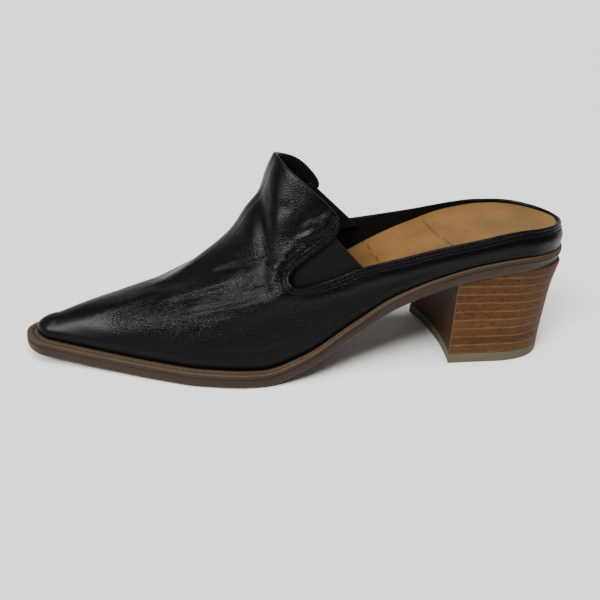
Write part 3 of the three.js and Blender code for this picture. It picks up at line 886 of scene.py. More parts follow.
def welt_finish(colour, edge):
    """Light tan welt: fibres along it, painted shade in its stitch groove and where it meets the upper, and
    the sole's brown on its side.
    """
    s = Shader("tan welt")
    fibre = s.noise(0.8, 4.0, s.stretched(0.25, 0.6, 1.0))
    groove = s.attribute("groove")
    side = s.attribute("side")
    cloud = s.noise(11.0, 3.0)
    base = s.mix(fibre, scaled(colour, 0.72), scaled(colour, 1.2))
    base = s.mix(cloud * 0.4, base, scaled(colour, 0.7))
    base = s.mix(side * 0.9, base, edge)
    # Painted shade: darker in the stitch groove and where the welt meets the upper
    base = s.mix(groove * 0.85, base, scaled(colour, 0.12))
    return s.finished(base, 0.5 + fibre * 0.2, 0.2, fibre * 0.08 + cloud * 0.05)


def outsole_finish(colour, under):
    """Brown leather sole: a burnished edge in fine lines, a scuffed underside and painted shade in its
    channel.
    """
    s = Shader("brown outsole")
    lines = s.noise(0.5, 3.0, s.stretched(0.05, 0.08, 1.0))
    cloud = s.noise(16.0, 4.0)
    bottom = s.attribute("under")
    channel = s.attribute("groove")
    scuff = s.noise(2.2, 5.0, s.stretched(0.25, 1.0, 1.0), 0.7).ramp(0.5, 0.75)
    edge = s.mix(lines, scaled(colour, 0.8), scaled(colour, 1.18))
    edge = s.mix(cloud * 0.5, edge, [colour[0] * 0.86, colour[1] * 0.76, colour[2] * 0.7])
    sole = s.mix(cloud, scaled(under, 0.75), scaled(under, 1.15))
    sole = s.mix(scuff * 0.5, sole, scaled(under, 0.45))
    base = s.mix(bottom, edge, sole)
    # Painted shade: the channel's groove is painted darker
    base = s.mix(channel * 0.7, base, scaled(under, 0.25))
    height = lines * 0.04 + scuff * bottom * 0.08
    return s.finished(base, 0.45 + cloud * 0.15 + bottom * 0.15, 0.2, height)


def stack_finish(light, dark, joint, breast_colour_and_shade):
    """Stacked heel: each layer its own brown, pale joints and fine upright scratches, a dark breast that is
    partly painted shade, and a painted highlight along its front corners.
    """
    s = Shader("stacked heel leather")
    foot = TOP_PIECE_THICKNESS + CLEARANCE
    layer = (HEEL_HEIGHT - foot) / HEEL_LAYERS
    level = (s.axis("Z") * 1000.0 - foot) / layer
    level = level + (s.noise(26.0, 1.0) - 0.5) * 0.10
    number = level.maths("FLOOR")
    part = level - number
    shade = s.node("ShaderNodeTexWhiteNoise", {"W": number + 3.0}, {"noise_dimensions": "1D"}, output="Value")
    streak = s.noise(1.3, 5.0, s.stretched(0.16, 0.16, 1.0), 0.7)
    speck = s.noise(1.3, 4.0, s.stretched(0.45, 0.45, 1.0), 0.75).ramp(0.48, 0.66)
    upright = s.noise(0.5, 2.0, s.stretched(1.0, 1.0, 0.04)).ramp(0.55, 0.75)
    cloud = s.noise(12.0, 3.0)
    tone = (shade * 0.35 + streak * 0.9 + cloud * 0.35 - 0.32).clamped()
    base = s.mix(tone, dark, light)
    base = s.mix(speck * 0.6, base, scaled(dark, 0.5))
    base = s.mix(upright * 0.2, base, scaled(dark, 0.62))
    line = (part - 0.5).maths("ABSOLUTE").ramp(0.37, 0.475)
    base = s.mix(line * (streak.ramp(0.3, 0.7) * 0.6 + 0.2), base, joint)
    breast = s.attribute("breast")
    # The breast: its own darker brown together with painted shade on the hollow front face
    base = s.mix(breast * 0.85, base, breast_colour_and_shade)
    # Painted highlight: a pale line along the corners where the breast meets the sides
    base = s.mix(s.attribute("corner") * 0.8, base, joint)
    height = streak * 0.06 + speck * -0.04 + upright * -0.03
    return s.finished(base, 0.5 + streak * 0.2, 0.1, height)


def top_piece_finish(colour):
    """Worn rubber with small pits."""
    s = Shader("top piece rubber")
    cloud = s.noise(9.0, 4.0)
    pits = s.cells(1.4).ramp(0.0, 0.25)
    base = s.mix(cloud, scaled(colour, 0.82), scaled(colour, 1.15))
    base = s.mix((1 - pits) * 0.12, base, scaled(colour, 0.5))
    return s.finished(base, 0.6 + cloud * 0.15, 0.2, pits * 0.03 + s.noise(0.6) * 0.03)


def floor_finish(colour):
    """Pale matt paper, barely uneven."""
    s = Shader("pale floor")
    base = s.mix(s.noise(180.0, 3.0), scaled(colour, 0.97), colour)
    return s.finished(base, 0.75, 0.5, s.noise(2.0) * 0.01)


def new_tree(name, inputs):
    """An empty Geometry Nodes tree with named inputs, each (name, socket type, default)."""
    tree = bpy.data.node_groups.new(name, "GeometryNodeTree")
    tree.interface.new_socket("Path", in_out="INPUT", socket_type="NodeSocketGeometry")
    for label, kind, default in inputs:
        socket = tree.interface.new_socket(label, in_out="INPUT", socket_type=kind)
        if default is not None:
            socket.default_value = default
    tree.interface.new_socket("Geometry", in_out="OUTPUT", socket_type="NodeSocketGeometry")
    return tree, tree.nodes.new("NodeGroupInput"), tree.nodes.new("NodeGroupOutput")


def tree_node(tree, kind, sockets, **settings):
    made = tree.nodes.new(kind)
    for key, value in settings.items():
        setattr(made, key, value)
    for key, value in sockets.items():
        if isinstance(value, bpy.types.NodeSocket):
            tree.links.new(value, made.inputs[key])
        else:
            made.inputs[key].default_value = value
    return made


def finish_tree(tree, given, result, geometry):
    """Ends a tree: its instances made real, in the finish that it is given."""
    real = tree_node(tree, "GeometryNodeRealizeInstances", {"Geometry": geometry})
    dressed = tree_node(
        tree, "GeometryNodeSetMaterial",
        {"Geometry": real.outputs["Geometry"], "Material": given.outputs["Finish"]})
    tree.links.new(dressed.outputs["Geometry"], result.inputs["Geometry"])
    return tree


def stitch_tree():
    """Stitches laid along a path, flat on the surface that the path's up attribute names."""
    tree, given, result = new_tree("Stitches along a path", (
        ("Pitch", "NodeSocketFloat", 0.0024),
        ("Stitch Length", "NodeSocketFloat", 0.0018),
        ("Thread", "NodeSocketFloat", 0.0005),
        ("Slant", "NodeSocketFloat", 0.1),
        ("Seed", "NodeSocketInt", 3),
        ("Finish", "NodeSocketMaterial", None),
    ))
    curve = tree_node(tree, "GeometryNodeMeshToCurve", {"Mesh": given.outputs["Path"]})
    even = tree_node(
        tree, "GeometryNodeResampleCurve",
        {"Curve": curve.outputs["Curve"], "Length": given.outputs["Pitch"]}, mode="LENGTH")
    up = tree_node(tree, "GeometryNodeInputNamedAttribute", {"Name": "up"}, data_type="FLOAT_VECTOR")
    tangent = tree_node(tree, "GeometryNodeInputTangent", {})
    along = tree_node(
        tree, "FunctionNodeAlignRotationToVector", {"Vector": tangent.outputs["Tangent"]}, axis="X")
    flat = tree_node(
        tree, "FunctionNodeAlignRotationToVector",
        {"Rotation": along.outputs["Rotation"], "Vector": up.outputs["Attribute"]}, axis="Z", pivot_axis="X")
    lean = tree_node(
        tree, "FunctionNodeAxisAngleToRotation", {"Axis": (0, 0, 1), "Angle": given.outputs["Slant"]})
    turned = tree_node(
        tree, "FunctionNodeRotateRotation",
        {"Rotation": flat.outputs["Rotation"], "Rotate By": lean.outputs["Rotation"]}, rotation_space="LOCAL")
    ball = tree_node(tree, "GeometryNodeMeshUVSphere", {"Segments": 8, "Rings": 5, "Radius": 0.5})
    size = tree_node(
        tree, "ShaderNodeCombineXYZ",
        {"X": given.outputs["Stitch Length"], "Y": given.outputs["Thread"], "Z": given.outputs["Thread"]})
    vary = tree_node(
        tree, "FunctionNodeRandomValue", {2: 0.88, 3: 1.08, "Seed": given.outputs["Seed"]}, data_type="FLOAT")
    scale = tree_node(
        tree, "ShaderNodeVectorMath",
        {0: size.outputs["Vector"], "Scale": vary.outputs[1]}, operation="SCALE")
    laid = tree_node(
        tree, "GeometryNodeInstanceOnPoints",
        {"Points": even.outputs["Curve"], "Instance": ball.outputs["Mesh"],
         "Rotation": turned.outputs["Rotation"], "Scale": scale.outputs["Vector"]})
    return finish_tree(tree, given, result, laid.outputs["Instances"])


def rib_tree():
    """Ribs that follow paths, each a thin rod of thread."""
    tree, given, result = new_tree("Ribs along paths", (
        ("Rib Radius", "NodeSocketFloat", 0.0004),
        ("Sides", "NodeSocketInt", 6),
        ("Finish", "NodeSocketMaterial", None),
    ))
    curve = tree_node(tree, "GeometryNodeMeshToCurve", {"Mesh": given.outputs["Path"]})
    profile = tree_node(
        tree, "GeometryNodeCurvePrimitiveCircle",
        {"Resolution": given.outputs["Sides"], "Radius": given.outputs["Rib Radius"]}, mode="RADIUS")
    swept = tree_node(
        tree, "GeometryNodeCurveToMesh",
        {"Curve": curve.outputs["Curve"], "Profile Curve": profile.outputs["Curve"], "Fill Caps": True})
    return finish_tree(tree, given, result, swept.outputs["Mesh"])


def grown_along(name, paths, tree, values, ups=None):
    """An object that a Geometry Nodes tree grows on paths of points, turned to a plain mesh."""
    points = np.concatenate(paths)
    edges = []
    first = 0
    for path in paths:
        edges += [(first + i, first + i + 1) for i in range(len(path) - 1)]
        first += len(path)
    mesh = bpy.data.meshes.new(name + "_path")
    mesh.from_pydata(points.tolist(), edges, [])
    if ups is not None:
        layer = mesh.attributes.new("up", "FLOAT_VECTOR", "POINT")
        layer.data.foreach_set("vector", np.concatenate(ups).astype(np.float32).ravel())
    piece = bpy.data.objects.new(name, mesh)
    bpy.context.scene.collection.objects.link(piece)
    modifier = piece.modifiers.new(tree.name, "NODES")
    modifier.node_group = tree
    for item in tree.interface.items_tree:
        if item.item_type == "SOCKET" and item.in_out == "INPUT" and item.name in values:
            modifier[item.identifier] = values[item.name]
    evaluated = piece.evaluated_get(bpy.context.evaluated_depsgraph_get())
    grown = bpy.data.meshes.new_from_object(evaluated)
    piece.modifiers.remove(modifier)
    piece.data = grown
    grown.name = name
    bpy.data.meshes.remove(mesh)
    grown.shade_smooth()
    return piece


def upper_surface():
    """Points and quads of the leather's outer face, before it is cut to its edge."""
    base = Outline(ledge)
    s = base.stations
    split = int(np.argmin(np.abs(s - SPLIT)))
    vamp, quarter = s[split:], s[:split + 1]
    points = []
    faces = []

    def add(block):
        """Adds rows of points, one row for each station."""
        first = sum(len(b) for b in points)
        rows, columns = block.shape[:2]
        points.append(block.reshape(-1, 3))
        faces.extend(grid_faces(rows, columns, first))

    halves = []
    reaches = []
    steps = []
    rows = np.arange(VAMP_ROWS + 1) / VAMP_ROWS
    for side in (LATERAL, MEDIAL):
        turns, lengths = section_lengths(side, vamp)
        turn = np.array([np.interp(rows * row[-1], row, turns) for row in lengths])
        halves.append(last_form(side, vamp[:, None], turn))
        steps.append(lengths[0, -1] / VAMP_ROWS)
        collar = COLLAR[:, (0, 1 if side == LATERAL else 2)]
        turns, lengths = section_lengths(side, quarter)
        top = turn_at_height(side, quarter, INSTEP_HEIGHT * smooth(collar, 1, quarter))
        reaches.append(np.array([np.interp(t, turns, row) for t, row in zip(top, lengths)]))
    count = math.ceil(max((reach[-1] + 2) / step for reach, step in zip(reaches, steps)))
    share = (quarter - quarter[0]) / (quarter[-1] - quarter[0])
    share = share ** 2 * (3 - 2 * share)
    for side, reach, step in zip((LATERAL, MEDIAL), reaches, steps):
        turns, lengths = section_lengths(side, quarter)
        reach = reach + 2.5 * (1 - share) + (count * step - reach[-1]) * share
        steps_up = np.arange(count + 1) / count
        turn = np.array([np.interp(steps_up * r, row, turns) for r, row in zip(reach, lengths)])
        block = last_form(side, quarter[:, None], turn)
        add(block if side == MEDIAL else block[::-1])
    add(np.concatenate((halves[0], halves[1][:, -2::-1]), axis=1)[::-1])
    return weld(np.concatenate(points), faces, 0.317)


def seam_rows(points):
    """Distance below the stitched part of the leather's edge: round the pocket and the collar."""
    distance = np.full(len(points), 1e3)
    for side in (LATERAL, MEDIAL):
        collar, pocket, _ = leather_edge(side)
        here = (points[:, 1] > 0) == (side == MEDIAL)
        line = np.concatenate((collar, pocket[1:]))
        found, _ = near(points[here][:, (0, 2)], line)
        distance[here] = found
    return distance


def upper_relief(points, settings):
    """Height that the leather's folds, seams and creases add to its outer face."""
    above = points[:, 2] - upper_foot(points[:, 0])
    relief = swell(above, *WELT_TUCK) + swell(above, *WELT_ROLL)
    bend = swell(points[:, 0], BEND_DEPTH, BEND_STATION, BEND_REACH)
    relief -= bend * between(above, BEND_START, BEND_FULL) ** 1.5 * settings.leather.fold_strength
    seam = seam_rows(points)
    crease = np.zeros(len(points))
    relief += swell(seam, *EDGE_FOLD)
    relief += swell(seam, *EDGE_PUFF) * between(above, 0, 8)
    for side, folds in ((LATERAL, LATERAL_FOLDS), (MEDIAL, MEDIAL_FOLDS)):
        here = (points[:, 1] > 0) == (side == MEDIAL)
        chosen = points[here]
        shoulder = through(on_section(side, SHOULDER))
        total = ridge(chosen, shoulder, settings.leather.shoulder / MM, SHOULDER_WIDTH)
        marks = np.zeros(len(chosen))
        for depth, width, pairs in folds:
            fold = ridge(chosen, through(on_section(side, pairs)), depth, width)
            total += fold * settings.leather.fold_strength
            if width < CREASE_WIDTH:
                marks += np.abs(fold)
        relief[here] += total
        crease[here] += marks
    return relief, np.clip(crease, 0, 1), seam


def grain_mask(points):
    """Where the leather is crackled: where the foot bends it, less so on the tongue and the crest."""
    along = points[:, 0]
    above = points[:, 2] - upper_foot(along)
    clear_of_welt = between(above, 7, 17)
    quarter = between(along, 150, 120)
    band = between(along, GRAIN_START, GRAIN_FULL) * (clear_of_welt + (1 - clear_of_welt) * quarter)
    uneven = 0.25 * speckle(points, GRAIN_PATCH, 2)
    fade = np.maximum(between(along, 60, 120), 0.6)
    away = between(seam_rows(points), 5, 10)
    tongue = 1 - 0.6 * between(points[:, 2], 62, 72) * away
    share = above / (crest_height(spine_station(along), 0) - upper_foot(along))
    crest = 1 - 0.45 * between(share, 0.78, 0.92) * away
    return np.clip((fade + uneven) * band * tongue * crest, 0, 1)


def rim_rows(here, there, normals, at_foot):
    """Rows of points that join the leather's outer face to its lining: a flat strip at the foot
    and a half round along the edge."""
    if at_foot:
        sunk = np.array((0, 0, -CLEARANCE - 0.05))
        return [here + (there - here) * 0.15 + sunk, here + (there - here) * 0.85 + sunk]
    tangent = np.roll(here, -1, axis=0) - np.roll(here, 1, axis=0)
    outwards = np.cross(tangent, normals)
    outwards /= np.linalg.norm(outwards, axis=1, keepdims=True)
    rows = []
    for k in range(1, EDGE_ROWS + 1):
        angle = math.pi * k / (EDGE_ROWS + 1)
        across = (here + there) / 2 + (here - there) / 2 * math.cos(angle)
        rows.append(across + outwards * WALL / 2 * math.sin(angle))
    return rows


def make_upper(settings):
    """The leather shell with its wall, folded edge and tucked foot."""
    points, faces = upper_surface()
    points, faces = trim(points, faces, beyond_edge(points) + WALL / 2)
    normals = point_normals(points, faces)
    middle = np.array((SHOE_LENGTH / 2, 0, 20))
    if (normals * (points - middle)).sum() < 0:
        faces = [tuple(reversed(face)) for face in faces]
        normals = -normals
    relief, crease, seam = upper_relief(points, settings)
    grain = grain_mask(points)
    count = len(points)
    outer = points + normals * relief[:, None]
    clear_of_gore = between(seam, 7, 13)
    inner = points + normals * (np.minimum(relief, 0) * clear_of_gore - WALL)[:, None]
    blocks = [outer, inner]
    total = 2 * count
    all_faces = list(faces) + [tuple(count + corner for corner in reversed(face)) for face in faces]
    finish = [0] * len(faces) + [1] * len(faces)
    source = [np.arange(count), np.arange(count)]
    for loop in border_loops(faces):
        loop = np.array(loop)
        at_foot = np.abs(outer[loop][:, 2] - upper_foot(outer[loop][:, 0])).max() < 1.5
        rows = rim_rows(outer[loop], inner[loop], normals[loop], at_foot)
        added = [total + k * len(loop) + np.arange(len(loop)) for k in range(len(rows))]
        steps = [loop] + added + [count + loop]
        for low, high in zip(steps[:-1], steps[1:]):
            for i in range(len(loop)):
                j = (i + 1) % len(loop)
                all_faces.append((int(low[j]), int(low[i]), int(high[i]), int(high[j])))
                finish.append(0)
        blocks += rows
        source += [loop] * len(rows)
        total += len(rows) * len(loop)
    source = np.concatenate(source)
    rows = (settings.stitches.first_row / MM, settings.stitches.second_row / MM)
    black = leather_finish(tuple(settings.leather.colour), settings.leather.grain, rows)
    lining = lining_finish(tuple(settings.leather.lining))
    all_faces = [tuple(reversed(face)) for face in all_faces]
    piece = make_piece(
        "upper_leather", placed(np.concatenate(blocks)), all_faces, (black, lining),
        {"grain": grain[source], "crease": crease[source], "seam": seam[source]}, finish)
    finish_piece(piece, "leather_black", "upper")
    return piece


def gore_lines(side, offsets, per_line, depth):
    """Lines across the gore, each beside its free edge, as points on the form at a depth."""
    knots = pocket_knots(side)
    high, corner = knots[1], knots[-1]
    low = corner - (GORE_LAP / 2, 0)
    along = (high - low) / np.linalg.norm(high - low)
    forward = np.array((along[1], -along[0]))
    nose = int(np.argmax(knots[:, 0]))
    slant = GORE_LAP * math.sqrt(0.5)
    outline = np.array((
        high + GORE_LAP * along, knots[nose - 3] + (slant, slant), knots[nose] + (GORE_LAP, GORE_LAP / 2),
        knots[nose + 1] + (slant, -slant), knots[nose + 3] + (0, -GORE_LAP), low - GORE_LAP * along,
    ))
    flat = np.stack(((outline - low) @ forward, (outline - low) @ along), 1)
    lines = []
    for offset in offsets:
        crossings = []
        for a, b in zip(flat, np.roll(flat, -1, axis=0)):
            if (a[0] - offset) * (b[0] - offset) <= 0 and a[0] != b[0]:
                crossings.append(a[1] + (b[1] - a[1]) * (offset - a[0]) / (b[0] - a[0]))
        if not crossings:
            crossings = [flat[0][1], flat[-1][1]]
        bottom, top = min(crossings), max(crossings)
        reach = bottom + (top - bottom) * np.linspace(0, 1, per_line)
        pairs = low + offset * forward + reach[:, None] * along
        s, z = pairs.T
        lines.append(last_form(side, s, turn_at_height(side, s, z, depth), depth))
    return np.array(lines), float(flat[:, 0].max())


def make_gore(side, settings):
    """Elastic webbing: a sheet with rounded edges and ribs beside its free edge."""
    name = "gore_lateral" if side == LATERAL else "gore_medial"
    depth = WALL + CLEARANCE
    _, reach = gore_lines(side, (1.0,), 3, depth)
    offsets = np.linspace(0.0, reach - 0.4, GORE_ROWS)
    outer, _ = gore_lines(side, offsets, GORE_COLUMNS, depth)
    inner, _ = gore_lines(side, offsets, GORE_COLUMNS, depth + GORE_THICKNESS)
    middle = (outer + inner) / 2
    rows, columns = outer.shape[:2]
    border = [c for c in range(columns)] + [r * columns + columns - 1 for r in range(1, rows)]
    border += [(rows - 1) * columns + c for c in range(columns - 2, -1, -1)]
    border += [r * columns for r in range(rows - 2, 0, -1)]
    flat_outer, flat_inner, flat_middle = (block.reshape(-1, 3) for block in (outer, inner, middle))
    centre = flat_middle.mean(axis=0)
    rim = flat_middle[border] + (flat_middle[border] - centre) * 0.02
    points = np.concatenate((flat_outer, flat_inner, rim))
    size = rows * columns
    faces = grid_faces(rows, columns)
    faces += [tuple(size + corner for corner in reversed(face)) for face in grid_faces(rows, columns)]
    for i, corner in enumerate(border):
        j = (i + 1) % len(border)
        following = border[j]
        faces.append((following, corner, 2 * size + i, 2 * size + j))
        faces.append((2 * size + j, 2 * size + i, size + corner, size + following))
    webbing = elastic_finish(tuple(settings.gore.colour))
    faces = facing_out(points_mirrored(points), faces)
    piece = make_piece(name + "_webbing", placed(points), faces, (webbing,))
    finish_piece(piece, "elastic_black", name)
    pitch = settings.gore.rib_pitch / MM
    rib_offsets = np.arange(0.5, reach - 0.8, pitch)
    lines, _ = gore_lines(side, rib_offsets, RIB_SAMPLES, depth - 0.02)
    paths = [placed(line) for line in lines]
    values = {"Rib Radius": settings.gore.rib_radius, "Sides": settings.gore.rib_sides, "Finish": webbing}
    ribs = grown_along(name + "_ribs", paths, rib_tree(), values)
    finish_piece(ribs, "elastic_black")


def seam_path(side, offset):
    """Stitched row a distance inside the leather's edge, from the heel to the tongue's corner."""
    collar, pocket, _ = leather_edge(side)
    line = np.concatenate((collar[collar[:, 0] > 2.0], pocket[1:]))
    tangent = np.gradient(line, axis=0)
    tangent /= np.linalg.norm(tangent, axis=1, keepdims=True)
    right = np.stack((tangent[:, 1], -tangent[:, 0]), 1)
    row = line + right * offset
    start = float(ledge(0.0))
    heel = start + (4.0 - start) * (1 - np.cos(np.linspace(0, math.pi / 2, 10)))
    level = INSTEP_HEIGHT * smooth(COLLAR, 1 if side == LATERAL else 2, heel) - offset
    row = np.concatenate((np.stack((heel, level), 1), row[row[:, 0] > 4.5]))
    s, z = row.T
    return last_form(side, s, turn_at_height(side, s, z))


def make_upper_stitches(settings, upper):
    """Two rows of stitches round the pockets and along the collar."""
    mesh = upper.data
    tree = BVHTree.FromPolygons([v.co for v in mesh.vertices], [tuple(p.vertices) for p in mesh.polygons])
    paths = []
    ups = []
    for offset in (settings.stitches.first_row / MM, settings.stitches.second_row / MM):
        lateral = seam_path(LATERAL, offset)[::-1]
        medial = seam_path(MEDIAL, offset)
        line = placed(np.concatenate((lateral, medial[1:])))
        found = [tree.find_nearest(Vector(p)) for p in line]
        up = np.array([f[1] for f in found])
        paths.append(np.array([f[0] for f in found]) + up * settings.stitches.thread * 0.15)
        ups.append(up)
    thread = thread_finish("black thread", tuple(settings.stitches.colour))
    values = {
        "Pitch": settings.stitches.pitch, "Stitch Length": settings.stitches.length,
        "Thread": settings.stitches.thread, "Slant": 0.12, "Seed": 3, "Finish": thread,
    }
    piece = grown_along("upper_stitches", paths, stitch_tree(), values, ups)
    finish_piece(piece, "leather_black")


def groove_margin(s):
    """How far inside the sole's edge the welt's stitches run."""
    return ledge(s) * GROOVE_PLACE


def groove_fade(s):
    """The groove fades where the welt narrows towards the heel."""
    return between(s, *GROOVE_FADE)


def ring_marks(rings, values):
    """One value for each point of the rings, the same all round a ring."""
    return np.repeat(np.asarray(values, float), len(rings[0]))


def make_welt(settings):
    """Welt with a rounded edge, a stitched groove on top and its joint to the outsole."""
    def foot(s):
        return outsole_top(s) + CLEARANCE

    def hole(s):
        return ledge(s) + WALL + WELT_SEAT

    def level(margin):
        return lambda s: WELT_STEP + margin + 0 * s

    def raised(surface, rise):
        return lambda s: surface(s) + rise

    # Each row: margin, height, how much it belongs to the side, and how dark it is painted, as painted shade
    # in the stitch groove and where the welt meets the upper
    section = [
        (level(0.06), raised(foot, -0.25), 1, 0),
        (level(-0.05), raised(foot, 0.25), 1, 0),
        (level(-0.1), raised(foot, 1.0), 1, 0),
        (level(0.0), raised(welt_top, -0.45), 1, 0),
        (level(0.14), raised(welt_top, -0.15), 0.6, 0),
        (level(0.42), welt_top, 0, 0),
    ]
    for share, dip, dark in (
            (-1.0, 0, 0), (-0.6, 0.12, 0.4), (-0.3, 0.45, 1), (0.3, 0.45, 1), (0.6, 0.12, 0.4),
            (1.0, 0, 0.2)):
        section.append((
            lambda s, share=share: np.maximum(groove_margin(s) + share * GROOVE_WIDTH, WELT_STEP + 0.5),
            lambda s, dip=dip: welt_top(s) - dip * groove_fade(s),
            0, dark))
    section += [
        (lambda s: np.maximum(ledge(s) + 0.6, WELT_STEP + 0.6), welt_top, 0, WELT_PAINTED_SHADE),
        (hole, welt_top, 0, 0),
        (hole, raised(foot, -0.25), 1, 0),
    ]
    margins, heights, sides, painted_shades = zip(*section)
    rings = [Outline(margin).ring(height) for margin, height in zip(margins, heights)]
    # The groove mark carries painted shade, in the stitch groove and along the join with the upper
    shade_at_upper = ring_marks(rings, [dark == WELT_PAINTED_SHADE for dark in painted_shades])
    fade = np.maximum(groove_fade(np.concatenate(rings)[:, 0]), shade_at_upper)
    groove = ring_marks(rings, painted_shades) * fade
    points, faces = lofted([points_mirrored(ring) for ring in rings], closed=True)
    tan = welt_finish(tuple(settings.sole.welt), tuple(settings.sole.edge))
    piece = make_piece(
        "welt_strip", points * MM, faces, (tan,),
        {"side": ring_marks(rings, sides), "groove": groove}, sharp=math.radians(50))
    finish_piece(piece, "welt_tan", "welt")
    line = Outline(groove_margin)
    s = line.stations[line.stations > WELT_STITCHES_FROM]
    lateral = np.stack((s, -line.half(LATERAL, s), welt_top(s) - 0.3), 1)
    medial = np.stack((s, line.half(MEDIAL, s), welt_top(s) - 0.3), 1)[-2::-1]
    path = placed(np.concatenate((lateral, medial)))
    values = {
        "Pitch": settings.stitches.welt_pitch, "Stitch Length": settings.stitches.welt_pitch * 0.78,
        "Thread": settings.stitches.welt_thread, "Slant": 0.35, "Seed": 5,
        "Finish": thread_finish("brown thread", tuple(settings.stitches.welt_colour)),
    }
    ups = [np.tile((0.0, 0.0, 1.0), (len(path), 1))]
    stitches = grown_along("welt_stitches", [path], stitch_tree(), values, ups)
    finish_piece(stitches, "welt_tan")


def make_outsole(settings):
    """Sole with a rounded lower edge, a burnished side and a closed channel underneath."""
    radius = OUTSOLE_EDGE_RADIUS
    # Each row: margin, rise, how much it belongs to the underside, and 1 in the channel, where shade is
    # painted
    section = [
        (9.0, 0.0, 1, 0), (5.0, 0.0, 1, 0), (4.6, 0.0, 1, 0), (4.3, 0.3, 1, 1), (4.0, 0.0, 1, 0),
        (3.2, 0.0, 1, 0), (radius, 0.0, 1, 0), (radius * 0.62, 0.13, 0.8, 0), (radius * 0.3, 0.38, 0.4, 0),
        (radius * 0.09, 0.85, 0.1, 0), (0.0, 1.5, 0, 0), (0.0, 2.6, 0, 0), (0.0, 3.6, 0, 0),
        (0.0, 4.65, 0, 0), (0.12, OUTSOLE_THICKNESS, 0, 0), (1.2, OUTSOLE_THICKNESS, 0, 0),
        (8.0, OUTSOLE_THICKNESS, 0, 0),
    ]

    def flush(s, margin, rise):
        """The rounded edge gives way to a straight one where the heel's stack stands under it."""
        seat = between(s, SEAT_START, SEAT_FULL)
        straight = SEAT_INSET * (1 - rise / OUTSOLE_THICKNESS)
        return np.where(margin <= radius, margin + (straight - margin) * seat, margin)

    rings = []
    for margin, rise, _, _ in section:
        edge = Outline(lambda s, margin=margin, rise=rise: flush(s, margin, rise))
        rings.append(points_mirrored(edge.ring(lambda s, rise=rise: sole_bottom(s) + rise)))
    points, faces = lofted(rings)
    under, groove = (ring_marks(rings, [row[k] for row in section]) for k in (2, 3))
    brown = outsole_finish(tuple(settings.sole.edge), tuple(settings.sole.under))
    piece = make_piece(
        "outsole_leather", points * MM, faces, (brown,),
        {"under": under, "groove": groove}, sharp=math.radians(50))
    finish_piece(piece, "outsole_brown", "outsole")


def heel_outline(z, margin):
    """The heel's outline at a height, a margin inside its own side, with its breast and the corners where a
    highlight is painted.
    """
    up = z / HEEL_HEIGHT
    rise = float(between(up, 0.4, 0.82))
    inset = HEEL_TAPER * (1 - up) + HEEL_WAIST * math.sin(math.pi * up) + margin
    inset += SEAT_INSET * rise * rise * (3 - 2 * rise)
    front = HEEL_BREAST - BREAST_SLANT * (1 - up) - margin
    length = HEEL_ROUNDING - inset

    def half(column, s):
        rounding = end_rounding(s - inset, length, STACK_FULLNESS)
        return (BALL_WIDTH * smooth(PLAN, column, s) - inset) * rounding

    quarter = np.linspace(0, math.pi / 2, HEEL_ARC_COLUMNS)
    side = np.linspace(HEEL_ROUNDING, front - 1.2, HEEL_SIDE_COLUMNS)[1:]
    side = np.concatenate((side, (front - 0.45, front)))
    s = np.concatenate((inset + length * (1 - np.cos(quarter)), side))
    lateral = np.stack((s, -half(1, s), np.full(len(s), z)), 1)
    medial = np.stack((s, half(2, s), np.full(len(s), z)), 1)
    across = np.concatenate(((0.01, 0.03), np.linspace(0, 1, BREAST_COLUMNS)[1:-1], (0.97, 0.99)))
    left, right = lateral[-1, 1], medial[-1, 1]
    hollow = BREAST_DEPTH * (1 - (2 * across - 1) ** 2)
    breast = np.stack((front - hollow, left + (right - left) * across, np.full(len(across), z)), 1)
    ring = np.concatenate((lateral, breast, medial[:0:-1]))
    is_breast = np.zeros(len(ring))
    is_breast[len(lateral):len(lateral) + len(breast)] = 1
    # Corners of the breast, where a highlight is painted
    painted_highlight_at_corner = np.zeros(len(ring))
    painted_highlight_at_corner[[len(lateral) - 1, len(lateral) + len(breast)]] = 1
    return ring, is_breast, painted_highlight_at_corner


def heel_piece(name, levels, finish, slot, node, seat=None):
    """A solid through the heel's outlines at levels of height and margin."""
    rings = []
    breast = []
    corner = []
    for z, margin in levels:
        ring, is_breast, painted_highlight_at_corner = heel_outline(z, margin)
        if seat is not None:
            ring[:, 2] = np.minimum(ring[:, 2], seat(ring[:, 0]))
        rings.append(points_mirrored(ring))
        breast.append(is_breast)
        corner.append(painted_highlight_at_corner)
    count = len(rings[0])
    points = np.concatenate(rings)
    faces = ring_faces(len(rings), count)
    faces.append(tuple(range(count - 1, -1, -1)))
    faces.append(tuple((len(rings) - 1) * count + i for i in range(count)))
    faces = facing_out(points, faces)
    # The corner marks say where a highlight is painted
    marks = {"breast": np.concatenate(breast), "corner": np.concatenate(corner)}
    piece = make_piece(name, points * MM, faces, (finish,), marks, sharp=math.radians(35))
    finish_piece(piece, slot, node)


def make_heel(settings):
    """Stacked layers with a soft groove at each joint, under the sole's seat."""
    foot = TOP_PIECE_THICKNESS + CLEARANCE
    layer = (HEEL_HEIGHT - foot) / HEEL_LAYERS
    depth = settings.heel.joint_depth / MM
    levels = []
    for i in range(HEEL_LAYERS):
        z = foot + i * layer
        levels += [(z, depth), (z + 0.35, depth * 0.35), (z + 0.9, 0.03), (z + layer / 2, 0.0),
                   (z + layer - 0.9, 0.03), (z + layer - 0.35, depth * 0.35)]
    levels.append((HEEL_HEIGHT, depth))
    heel = settings.heel
    finish = stack_finish(tuple(heel.light), tuple(heel.dark), tuple(heel.joint), tuple(heel.breast))
    heel_piece(
        "heel_stack_layers", levels, finish, "stack_brown", "heel_stack",
        lambda s: sole_bottom(s) - CLEARANCE * 0.5)


